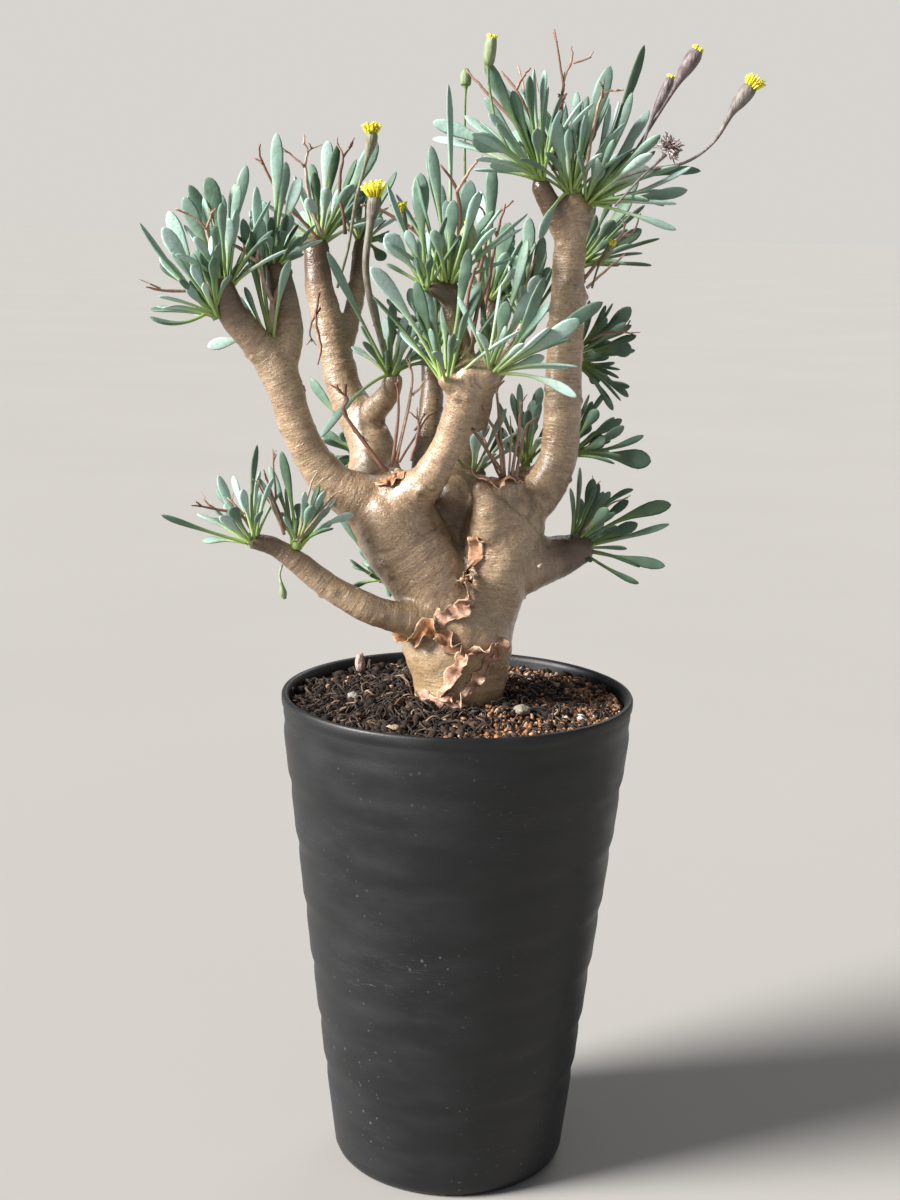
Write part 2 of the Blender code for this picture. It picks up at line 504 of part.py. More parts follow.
def reaches(offset):
    """The wanted way to the tip, then others near it that the leaf may take if something is in its way."""
    yield offset
    for degrees in (12, -12, 24, -24, 36, -36):
        for axis in "XZ":
            yield Matrix.Rotation(math.radians(degrees), 3, axis) @ offset


def make_rosette(name, bud, offsets):
    """A bud with its leaves. Each leaf grows where there is room for it, or not at all."""
    shoots = bmesh.new()
    for x, y, z, width in offsets:
        offset = mm((x, y, z))
        for reach in reaches(offset):
            sprout = bud + reach.normalized() * 0.9 * MM
            test = bmesh.new()
            leaf(test, sprout, bud + reach, width / 2 * MM, 0.35 * MM)
            room = BVHTree.FromBMesh(test)
            test.free()
            if not any(room.overlap(other) for key, other in taken.items() if key != name):
                leaf(shoots, sprout, bud + reach, width / 2 * MM, 0)
                break
    join(rosettes[name], helper(name + "_leaves", shoots))


for left_over in list(bpy.data.objects):
    bpy.data.objects.remove(left_over, do_unlink=True)
plant = collection("potted_succulent")
cutters = collection("cutters")

plastic = finish("black_plastic", (0.018, 0.019, 0.021), 0.5)
soil = finish("potting_mix", (0.06, 0.04, 0.028), 0.95)
bark = finish("silvery_bark", (0.42, 0.3, 0.2), 0.4)
dry_bark = finish("peeling_bark", (0.5, 0.26, 0.13), 0.8)
dry_stalk = finish("dead_stalk", (0.33, 0.17, 0.12), 0.8)
green = finish("glaucous_leaf", (0.2, 0.34, 0.26), 0.55)
flower = finish("yellow_flower", (0.75, 0.65, 0.08), 0.6)
stone = finish("stone", (0.5, 0.47, 0.42), 0.8)
hidden = finish("guide", (0.5, 0.5, 0.5), 1)

make_pot()
make_potting_mix()
caudex = make_caudex()
bark_tree = tree_of(caudex)
taken = {"caudex": bark_tree}
for name, size in STONES.items():
    make_stone(name, *size)
for name, strip in BARK_STRIPS.items():
    taken[name] = tree_of(make_bark_strip(name, *strip))
for name, (scar, stalks) in DEAD_STALKS.items():
    taken[name] = tree_of(make_dead_stalks(name, scar, stalks))
for name, points in FLOWERS.items():
    taken[name] = tree_of(make_flower(name, points))
rosettes = {}
buds = {}
for name, (sprout, _) in ROSETTES.items():
    buds[name] = seat(sprout, BUD_RADIUS + GAP)
    bm = bmesh.new()
    ball(bm, buds[name], (BUD_RADIUS,) * 3)
    rosettes[name] = place(name, bm, plant, green)
    taken[name] = tree_of(rosettes[name])
for name, (_, offsets) in ROSETTES.items():
    make_rosette(name, buds[name], offsets)
    taken[name] = tree_of(rosettes[name])
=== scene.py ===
import math
import random

import bmesh
import bpy
import numpy as np
from mathutils import Matrix, Vector, noise
from mathutils.bvhtree import BVHTree
from mathutils.kdtree import KDTree


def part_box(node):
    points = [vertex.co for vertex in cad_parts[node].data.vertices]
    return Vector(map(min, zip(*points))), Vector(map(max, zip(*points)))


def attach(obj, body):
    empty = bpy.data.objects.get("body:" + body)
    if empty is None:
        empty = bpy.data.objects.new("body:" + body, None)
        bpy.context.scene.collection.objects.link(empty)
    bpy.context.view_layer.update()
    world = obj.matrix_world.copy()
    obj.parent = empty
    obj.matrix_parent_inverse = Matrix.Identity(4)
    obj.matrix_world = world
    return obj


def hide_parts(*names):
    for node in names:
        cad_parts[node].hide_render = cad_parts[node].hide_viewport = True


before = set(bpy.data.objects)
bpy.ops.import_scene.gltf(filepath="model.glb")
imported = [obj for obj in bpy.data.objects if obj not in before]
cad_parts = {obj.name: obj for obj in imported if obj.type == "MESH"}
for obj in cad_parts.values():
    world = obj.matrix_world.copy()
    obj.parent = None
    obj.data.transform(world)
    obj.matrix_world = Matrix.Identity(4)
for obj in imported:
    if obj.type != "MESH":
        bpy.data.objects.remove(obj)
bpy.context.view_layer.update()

# A shrubby caudex succulent in a tall nursery pot. The frame is in metres with +Z up, and the plant
# is seen from -Y. Lengths and places in the tables below are in millimetres.
MM = 0.001

# ---- Pot -------------------------------------------------------------------------------------
# The pot is a thin tapered shell of black polypropylene, moulded with shallow rings in its wall,
# a short upright neck and a small rolled lip. It is scuffed, and dried water spots it.
RIM_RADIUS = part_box("pot")[1].x / MM
POT_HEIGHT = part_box("pot")[1].z / MM
NECK_RADIUS = RIM_RADIUS - 0.5
FOOT_RADIUS = 31.8
TAPER = 0.1245
NECK_HEIGHT = (NECK_RADIUS - FOOT_RADIUS) / TAPER
POT_WALL = 1.6
POT_FLOOR = 2.5
RING_HEIGHTS = (26, 40, 56, 73, 91, 108, 125)
POT_STEPS = 144
DRAIN_CIRCLE = 17
DRAIN_RADIUS = 3
DRAIN_HOLES = 5


def add(tree, kind, inputs=None, **settings):
    """A shader node. Each of its inputs is a value, or the socket that feeds it."""
    node = tree.nodes.new("ShaderNode" + kind)
    for name, value in settings.items():
        setattr(node, name, value)
    for name, value in (inputs or {}).items():
        feed(tree, node.inputs[name], value)
    return node


def feed(tree, socket, value):
    """Links a socket to another, or sets it. A colour may be three numbers."""
    if isinstance(value, bpy.types.NodeSocket):
        tree.links.new(value, socket)
    elif socket.type == "RGBA":
        socket.default_value = (*value, 1)
    else:
        socket.default_value = value


def ramp(tree, factor, *stops):
    """A colour that follows the factor through stops of (place, colour), or of (place, grey)."""
    node = add(tree, "ValToRGB", {"Fac": factor})
    elements = node.color_ramp.elements
    while len(elements) < len(stops):
        elements.new(0.5)
    for element, (place, colour) in zip(elements, stops):
        element.position = place
        element.color = (colour,) * 3 + (1,) if isinstance(colour, (int, float)) else (*colour, 1)
    return node.outputs["Color"]


def blend(tree, factor, low, high, how="MIX"):
    """One colour laid over another by the factor."""
    node = add(tree, "Mix", data_type="RGBA", blend_type=how)
    feed(tree, node.inputs[0], factor)
    feed(tree, node.inputs[6], low)
    feed(tree, node.inputs[7], high)
    return node.outputs[2]


def maths(tree, how, first, second=0.0):
    node = add(tree, "Math", operation=how)
    feed(tree, node.inputs[0], first)
    feed(tree, node.inputs[1], second)
    return node.outputs[0]


def times(tree, first, second):
    return maths(tree, "MULTIPLY", first, second)


def wash(tree, mask, strength, shade, colour):
    """The shade with a colour washed over it where the mask is, up to this strength."""
    return blend(tree, times(tree, mask, strength), shade, colour)


def between(tree, value, start, end):
    """0 to 1 as the value goes from start to end."""
    return add(tree, "MapRange", {"Value": value, "From Min": start, "From Max": end}).outputs["Result"]


def effect(name, inputs, build):
    """A shared effect: a node group with these inputs and one mask, made by build."""
    tree = bpy.data.node_groups.new(name, "ShaderNodeTree")
    for key, kind in inputs:
        tree.interface.new_socket(key, in_out="INPUT", socket_type="NodeSocket" + kind)
    tree.interface.new_socket("Mask", in_out="OUTPUT", socket_type="NodeSocketFloat")
    inner = tree.nodes.new("NodeGroupInput").outputs
    outer = tree.nodes.new("NodeGroupOutput").inputs
    tree.links.new(build(tree, inner), outer["Mask"])
    return tree


def mottle_nodes(tree, inner):
    cloud = add(tree, "TexNoise", {"Vector": inner["Vector"], "Scale": inner["Scale"], "Detail": 5.0})
    return between(tree, cloud.outputs["Fac"], inner["Low"], inner["High"])


def speck_nodes(tree, inner):
    cells = add(tree, "TexVoronoi", {"Vector": inner["Vector"], "Scale": inner["Scale"]})
    drift = add(tree, "TexNoise", {"Vector": inner["Vector"], "Scale": inner["Scale"], "Detail": 2.0})
    size = times(tree, drift.outputs["Fac"], inner["Size"])
    return between(tree, maths(tree, "SUBTRACT", cells.outputs["Distance"], size), 0.03, -0.03)


mottle_effect = effect("mottle", [("Vector", "Vector"), ("Scale", "Float"), ("Low", "Float"),
                                  ("High", "Float")], mottle_nodes)
speck_effect = effect("specks", [("Vector", "Vector"), ("Scale", "Float"), ("Size", "Float")], speck_nodes)


def mottle(tree, place, scale, low=0.35, high=0.65):
    """Soft patches, 0 to 1. The scale is in patches to the metre."""
    inputs = {"Vector": place, "Scale": float(scale), "Low": low, "High": high}
    return add(tree, "Group", inputs, node_tree=mottle_effect).outputs["Mask"]


def specks(tree, place, scale, size):
    """Small dots, 1 inside them and 0 outside."""
    inputs = {"Vector": place, "Scale": float(scale), "Size": size}
    return add(tree, "Group", inputs, node_tree=speck_effect).outputs["Mask"]


def stretched(tree, place, x, y, z):
    """The place, scaled along each axis, so that a pattern on it is long or short that way."""
    return add(tree, "Mapping", {"Vector": place, "Scale": (x, y, z)}).outputs["Vector"]


def bump(tree, shader, *layers):
    """Relief: each layer is a height and its depth in millimetres."""
    normal = None
    for height, depth in layers:
        node = add(tree, "Bump", {"Height": height, "Distance": depth * MM, "Strength": 1.0})
        if normal:
            tree.links.new(normal, node.inputs["Normal"])
        normal = node.outputs["Normal"]
    tree.links.new(normal, shader.inputs["Normal"])


def look(name, **constants):
    """A new material: itself, its tree, its shader and the place on the object."""
    made = bpy.data.materials.new(name)
    made.use_nodes = True
    tree = made.node_tree
    shader = tree.nodes["Principled BSDF"]
    for key, value in constants.items():
        shader.inputs[key.replace("_", " ")].default_value = value
    return made, tree, shader, add(tree, "TexCoord").outputs["Object"]


def mesh_object(name, bm):
    """The mesh as an object in the scene."""
    mesh = bpy.data.meshes.new(name)
    bm.to_mesh(mesh)
    bm.free()
    made = bpy.data.objects.new(name, mesh)
    bpy.context.scene.collection.objects.link(made)
    return made


def piece(name, bm, material, node=None):
    """The mesh as a finished piece. It stands for the CAD node, where there is one."""
    bmesh.ops.recalc_face_normals(bm, faces=bm.faces)
    made = mesh_object(name, bm)
    made.data.shade_smooth()
    made.data.materials.append(material)
    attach(made, "root")
    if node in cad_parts:
        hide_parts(node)
    return made


def bake_modifiers(made):
    """The object's mesh as its modifiers leave it."""
    graph = bpy.context.evaluated_depsgraph_get()
    mesh = bpy.data.meshes.new_from_object(made.evaluated_get(graph))
    made.modifiers.clear()
    made.data = mesh


def turned(profile):
    """The profile of (radius, height) points, turned on a lathe round Z."""
    bm = bmesh.new()
    verts = [bm.verts.new((radius * MM, 0, height * MM)) for radius, height in profile]
    edges = [bm.edges.new(pair) for pair in zip(verts, verts[1:])]
    bmesh.ops.spin(bm, geom=verts + edges, axis=(0, 0, 1), cent=(0, 0, 0), angle=2 * math.pi,
                   steps=POT_STEPS, use_merge=True)
    bmesh.ops.remove_doubles(bm, verts=bm.verts, dist=1e-6)
    return bm


def wall_radius(height):
    """The outside of the wall: a straight taper up to the neck, with a groove at each ring."""
    grooves = sum(0.42 * math.exp(-((height - ring) / 2.3) ** 2) for ring in RING_HEIGHTS)
    beads = sum(0.14 * math.exp(-((height - ring - 4) / 2) ** 2) for ring in RING_HEIGHTS)
    return FOOT_RADIUS + TAPER * min(height, NECK_HEIGHT) - grooves + beads


def bore_radius(height):
    return FOOT_RADIUS + TAPER * min(height, NECK_HEIGHT) - POT_WALL


lip_foot = POT_HEIGHT - 3.2
outside = [(0, 0.6), (FOOT_RADIUS - 6, 0.6), (FOOT_RADIUS - 5, 0), (FOOT_RADIUS - 3, 0),
           (FOOT_RADIUS - 1.3, 0.5), (FOOT_RADIUS - 0.3, 1.6), (wall_radius(3.2), 3.2)]
outside += [(min(wall_radius(z), NECK_RADIUS), z) for z in np.arange(4.5, lip_foot, 1.5)]
lip = [(NECK_RADIUS, lip_foot), (RIM_RADIUS - 0.1, lip_foot + 0.5), (RIM_RADIUS, lip_foot + 1.2),
       (RIM_RADIUS, POT_HEIGHT - 0.7), (RIM_RADIUS - 0.25, POT_HEIGHT - 0.2),
       (RIM_RADIUS - 0.7, POT_HEIGHT),
       (RIM_RADIUS - 1.3, POT_HEIGHT - 0.15), (RIM_RADIUS - 1.8, POT_HEIGHT - 0.7),
       (bore_radius(POT_HEIGHT), POT_HEIGHT - 1.6)]
inside = [(bore_radius(z), z) for z in (NECK_HEIGHT, 80, 40, POT_FLOOR)] + [(0, POT_FLOOR)]
shell = turned(outside + lip + inside)
for vert in shell.verts:
    # Thin plastic is never quite round: it leans in and out a fraction of a millimetre.
    lean = noise.noise(vert.co * 16) * 0.28 * (1 - (vert.co.z / MM / POT_HEIGHT) ** 8)
    vert.co += Vector((vert.co.x, vert.co.y, 0)).normalized() * (lean - 0.14) * MM
drills = bmesh.new()
for hole in range(DRAIN_HOLES):
    angle = 2 * math.pi * hole / DRAIN_HOLES
    bmesh.ops.create_cone(
        drills, cap_ends=True, segments=32, depth=0.01,
        radius1=DRAIN_RADIUS * MM, radius2=DRAIN_RADIUS * MM,
        matrix=Matrix.Translation(Vector((math.cos(angle), math.sin(angle), 0)) * DRAIN_CIRCLE * MM))
drill = mesh_object("drain_drills", drills)

plastic, tree, shader, place = look("black_plastic", Specular_IOR_Level=0.4)
wear = mottle(tree, stretched(tree, place, 1, 1, 2.5), 55, 0.4, 0.75)
base = blend(tree, wear, (0.0065, 0.0072, 0.0085), (0.0135, 0.0145, 0.0165))
scuffs = times(tree, mottle(tree, stretched(tree, place, 0.25, 0.25, 3), 900, 0.6, 0.72),
               mottle(tree, place, 30, 0.5, 0.7))
base = wash(tree, scuffs, 0.4, base, (0.06, 0.06, 0.06))
spots = times(tree, specks(tree, place, 420, 0.27), mottle(tree, place, 60, 0.5, 0.7))
base = wash(tree, spots, 0.35, base, (0.2, 0.19, 0.18))
tree.links.new(base, shader.inputs["Base Color"])
tree.links.new(ramp(tree, wear, (0, 0.42), (1, 0.58)), shader.inputs["Roughness"])
bump(tree, shader, (mottle(tree, place, 1600, 0.2, 0.8), 0.03), (scuffs, 0.05))

pot = piece("pot_shell", shell, plastic, "pot")
cut = pot.modifiers.new("drain", "BOOLEAN")
cut.operation = "DIFFERENCE"
cut.solver = "EXACT"
cut.object = drill
bake_modifiers(pot)
bpy.data.objects.remove(drill)
pot.data.materials.clear()
pot.data.materials.append(plastic)
pot.data.shade_smooth()

# ---- Potting mix -----------------------------------------------------------------------------
# Damp dark compost fills the pot to just under its lip and heaps up round the stem. Coarse crumbs,
# fired clay grit and curled coir fibres lie loose on it.
SOIL_LEVEL = 130
MIX_RADIUS = 45.5
CRUMBS = 1700
GRIT = 2300
FIBRES = 620
REACH = 44
CLEAR_OF_STEM = 12.5
STEM_FOOT = Vector((0.5, -1))
HEAPS = ((-15, 3, 9, 4.6), (-22, -8, 8, 2.0), (-9, -14, 7, 1.6), (17, 4, 8, 3.6), (12, -13, 6, 1.8),
         (24, -10, 9, 1.2), (3, 18, 12, 2.0), (-32, 10, 9, 1.2), (-2, -30, 12, 0.8), (34, 12, 8, 1.0))
rng = random.Random(7)
noise.seed_set(7)


def bed_height(x, y):
    """The height of the mix: level at the wall, with heaps round the stem."""
    edge = 1 - min(1, math.hypot(x, y) / MIX_RADIUS) ** 6
    heaps = sum(rise * math.exp(-((x - a) ** 2 + (y - b) ** 2) / wide ** 2) for a, b, wide, rise in HEAPS)
    rough = noise.fractal(Vector((x, y, 3)) / 5, 0.7, 2.0, 4) * 0.9
    return SOIL_LEVEL + (heaps + rough) * edge - 0.4


radii = [bore_radius(SOIL_LEVEL) - 0.2 - 1.25 * i for i in range(37)]
floor_line = POT_FLOOR + 0.35
bed = turned([(0, floor_line), (bore_radius(floor_line) - 0.35, floor_line),
              (bore_radius(NECK_HEIGHT) - 0.35, NECK_HEIGHT)] + [(r, SOIL_LEVEL) for r in radii if r > 0]
             + [(0, SOIL_LEVEL)])
for vert in bed.verts:
    if vert.co.z > (SOIL_LEVEL - 1) * MM:
        vert.co.z = bed_height(vert.co.x / MM, vert.co.y / MM) * MM
compost, tree, shader, place = look("compost", Roughness=0.95, Specular_IOR_Level=0.2)
shade = blend(tree, mottle(tree, place, 700), (0.012, 0.0075, 0.0055), (0.045, 0.027, 0.018))
shade = blend(tree, mottle(tree, place, 160, 0.45, 0.7), shade, (0.012, 0.007, 0.005))
tree.links.new(shade, shader.inputs["Base Color"])
bump(tree, shader, (mottle(tree, place, 1200, 0.2, 0.8), 0.5))
piece("compost_bed", bed, compost, "potting_mix")


def loose_spot(spread):
    """A random place on the mix, clear of the stem and the wall."""
    while True:
        x, y = (rng.uniform(-REACH, REACH) for _ in "xy")
        clear = (Vector((x, y)) - STEM_FOOT).length > CLEAR_OF_STEM and math.hypot(x, y) < REACH + 0.2
        if clear and rng.random() < spread(x, y):
            return x, y


def crumb(bm, x, y, size, sink, tone):
    """A lump with uneven sides, 20 faces, half sunk in the mix."""
    turn = Matrix.Rotation(rng.uniform(0, 6.3), 4, Vector((rng.uniform(-1, 1), rng.uniform(-1, 1), 1)))
    shape = Matrix.Diagonal((rng.uniform(0.7, 1.3), rng.uniform(0.6, 1.1), rng.uniform(0.45, 0.9), 1))
    spot = Matrix.Translation(Vector((x, y, bed_height(x, y) + size * sink)) * MM)
    made = bmesh.ops.create_icosphere(bm, subdivisions=1, radius=size * MM, matrix=spot @ turn @ shape)
    tones = bm.verts.layers.float["tone"]
    for vert in made["verts"]:
        vert.co += noise.noise_vector(vert.co * 900) * size * 0.22 * MM
        vert[tones] = tone


def toned():
    """An empty mesh whose points carry a tone, and how far along their piece they are."""
    bm = bmesh.new()
    bm.verts.layers.float.new("along")
    bm.verts.layers.float.new("tone")
    return bm


def attribute(tree, name):
    return add(tree, "Attribute", attribute_name=name).outputs["Fac"]


crumbs = toned()
for _ in range(CRUMBS):
    x, y = loose_spot(lambda x, y: 1 if x < 8 else 0.4)
    crumb(crumbs, x, y, rng.uniform(0.4, 1.0) ** 2 * 1.9, 0.3, rng.random())
crumb_look, tree, shader, place = look("compost_crumb", Roughness=0.85, Specular_IOR_Level=0.3)
shade = ramp(tree, attribute(tree, "tone"), (0, (0.009, 0.006, 0.005)), (0.55, (0.022, 0.014, 0.01)),
             (0.85, (0.05, 0.03, 0.02)), (1, (0.12, 0.075, 0.05)))
shade = wash(tree, mottle(tree, place, 1500), 0.5, shade, (0.014, 0.009, 0.007))
tree.links.new(shade, shader.inputs["Base Color"])
bump(tree, shader, (mottle(tree, place, 2500, 0.2, 0.8), 0.15))
piece("compost_crumbs", crumbs, crumb_look)

grit = toned()
for _ in range(GRIT):
    x, y = loose_spot(lambda x, y: min(1, max(0.05, (x + 2 - 0.25 * y) / 26)))
    crumb(grit, x, y, rng.uniform(0.4, 0.95) ** 1.3, 0.5, rng.random())
clay, tree, shader, place = look("clay_grit", Roughness=0.85)
shade = ramp(tree, attribute(tree, "tone"), (0, (0.12, 0.05, 0.025)), (0.35, (0.27, 0.12, 0.055)),
             (0.75, (0.42, 0.23, 0.12)), (0.92, (0.52, 0.36, 0.22)), (1, (0.68, 0.6, 0.5)))
shade = wash(tree, mottle(tree, place, 2200), 0.45, shade, (0.16, 0.07, 0.035))
tree.links.new(shade, shader.inputs["Base Color"])
bump(tree, shader, (mottle(tree, place, 3000, 0.2, 0.8), 0.12))
piece("clay_grit", grit, clay)

blanks = {}


def rod_blank(rings, sides):
    """A straight blank rod with its rings one unit apart. It is laid along a path later."""
    if (rings, sides) not in blanks:
        rod = toned()
        bmesh.ops.create_cone(rod, cap_ends=True, segments=sides, radius1=1, radius2=1, depth=rings - 1)
        if rings > 2:
            long_edges = [e for e in rod.edges if abs(e.verts[0].co.z - e.verts[1].co.z) > 0.5]
            bmesh.ops.subdivide_edges(rod, edges=long_edges, cuts=rings - 2)
        along = rod.verts.layers.float["along"]
        for vert in rod.verts:
            vert.co.z += (rings - 1) / 2
            vert[along] = vert.co.z / (rings - 1)
        blanks[rings, sides] = bpy.data.meshes.new("rod_blank")
        rod.to_mesh(blanks[rings, sides])
        rod.free()
    return blanks[rings, sides]


def lay(bm, rings, sides, tone, shape):
    """Adds a rod. Its shape gives each point's place from its ring and its place round the ring."""
    first = len(bm.verts)
    bm.from_mesh(rod_blank(rings, sides))
    bm.verts.ensure_lookup_table()
    tones = bm.verts.layers.float["tone"]
    for vert in bm.verts[first:]:
        vert[tones] = tone
        vert.co = shape(round(vert.co.z), vert.co.x, vert.co.y)


def smooth_path(points, cuts):
    """The points with cuts more between each two, all on one Catmull-Rom curve. Sizes follow too."""
    knots = np.array([points[0], *points, points[-1]], float)
    knots[0] = 2 * knots[1] - knots[2]
    knots[-1] = 2 * knots[-2] - knots[-3]
    path = []
    for before, start, end, after in zip(knots, knots[1:], knots[2:], knots[3:]):
        for t in np.arange(0, 1, 1 / (cuts + 1)):
            bend = (end - before) * t + (2 * before - 5 * start + 4 * end - after) * t**2
            path.append(start + (bend + (3 * start - before - 3 * end + after) * t**3) / 2)
    return [*path, knots[-2]]


def cross_sections(centres):
    """Each centre along a path, with two directions square to the path there."""
    across = Vector((0.3, 1, 0.1))
    sections = []
    for i, centre in enumerate(centres):
        ahead = (centres[min(i + 1, len(centres) - 1)] - centres[max(i - 1, 0)]).normalized()
        across = (across - ahead * across.dot(ahead)).normalized()
        sections.append((centre, across, ahead.cross(across)))
    return sections


def tube(bm, points, sides=6, tone=0.5):
    """A round rod along points of (x, y, z, radius)."""
    sections = [(centre, across * point[3] * MM, other * point[3] * MM) for point, (centre, across, other)
                in zip(points, cross_sections([Vector(point[:3]) * MM for point in points]))]

    def shape(i, x, y):
        centre, across, other = sections[i]
        return centre + across * x + other * y

    lay(bm, len(points), sides, tone, shape)


fibres = toned()
for _ in range(FIBRES):
    x, y = loose_spot(lambda x, y: math.exp(-((x + 8) ** 2 + (y + 4) ** 2) / 700) + 0.06)
    heading = rng.uniform(0, 2 * math.pi)
    curl = rng.uniform(-1.1, 1.1)
    rise = rng.uniform(0.3, 2.6)
    stout = rng.uniform(0.1, 0.34)
    strand = []
    for i in range(8):
        strand.append((x, y, bed_height(x, y) + 0.4 + rise * math.sin(i / 7 * math.pi) ** 0.8,
                       stout * rng.uniform(0.7, 1.2)))
        step = rng.uniform(0.5, 1.3)
        x += step * math.cos(heading)
        y += step * math.sin(heading)
        heading += curl + rng.uniform(-0.3, 0.3)
        if math.hypot(x, y) > REACH:
            heading += math.pi
    tube(fibres, strand, 4, rng.random())
coir, tree, shader, place = look("coir_fibre", Roughness=0.8)
tree.links.new(ramp(tree, attribute(tree, "tone"), (0, (0.012, 0.007, 0.005)), (0.7, (0.035, 0.02, 0.014)),
                    (0.92, (0.12, 0.075, 0.05)), (1, (0.32, 0.23, 0.16))), shader.inputs["Base Color"])
bump(tree, shader, (mottle(tree, place, 4000, 0.2, 0.8), 0.05))
piece("coir_fibres", fibres, coir)

# ---- Stones ----------------------------------------------------------------------------------
# A few larger stones, worn smooth or split, lie on the mix near the pot's wall.
STONES = (("stone_grey_round", 0.35), ("stone_pink_upright", 0.75), ("stone_olive", 0.1),
          ("stone_white", 1.0), ("stone_tan_flat", 0.55))
pebble, tree, shader, place = look("pebble", Roughness=0.75)
shade = ramp(tree, attribute(tree, "tone"), (0, (0.22, 0.2, 0.12)), (0.35, (0.34, 0.32, 0.3)),
             (0.55, (0.42, 0.3, 0.19)), (0.75, (0.5, 0.35, 0.3)), (1, (0.72, 0.7, 0.66)))
shade = blend(tree, mottle(tree, place, 1300, 0.4, 0.7), shade, (0.55, 0.52, 0.5), "MULTIPLY")
tree.links.new(shade, shader.inputs["Base Color"])
bump(tree, shader, (mottle(tree, place, 1400, 0.2, 0.8), 0.25))
for name, tone in STONES:
    low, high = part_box(name)
    size = (high - low) / 2
    stone_mesh = toned()
    bmesh.ops.create_icosphere(stone_mesh, subdivisions=4, radius=1)
    tones = stone_mesh.verts.layers.float["tone"]
    for vert in stone_mesh.verts:
        worn = 1 + 0.16 * noise.noise(vert.co * 1.3 + Vector((tone * 9, 0, 0))) - 0.08
        vert.co = (low + high) / 2 + Vector(a * b for a, b in zip(vert.co * worn, size))
        vert.co.z -= 0.5 * MM
        vert[tones] = tone
    piece(name + "_worn", stone_mesh, pebble, name)

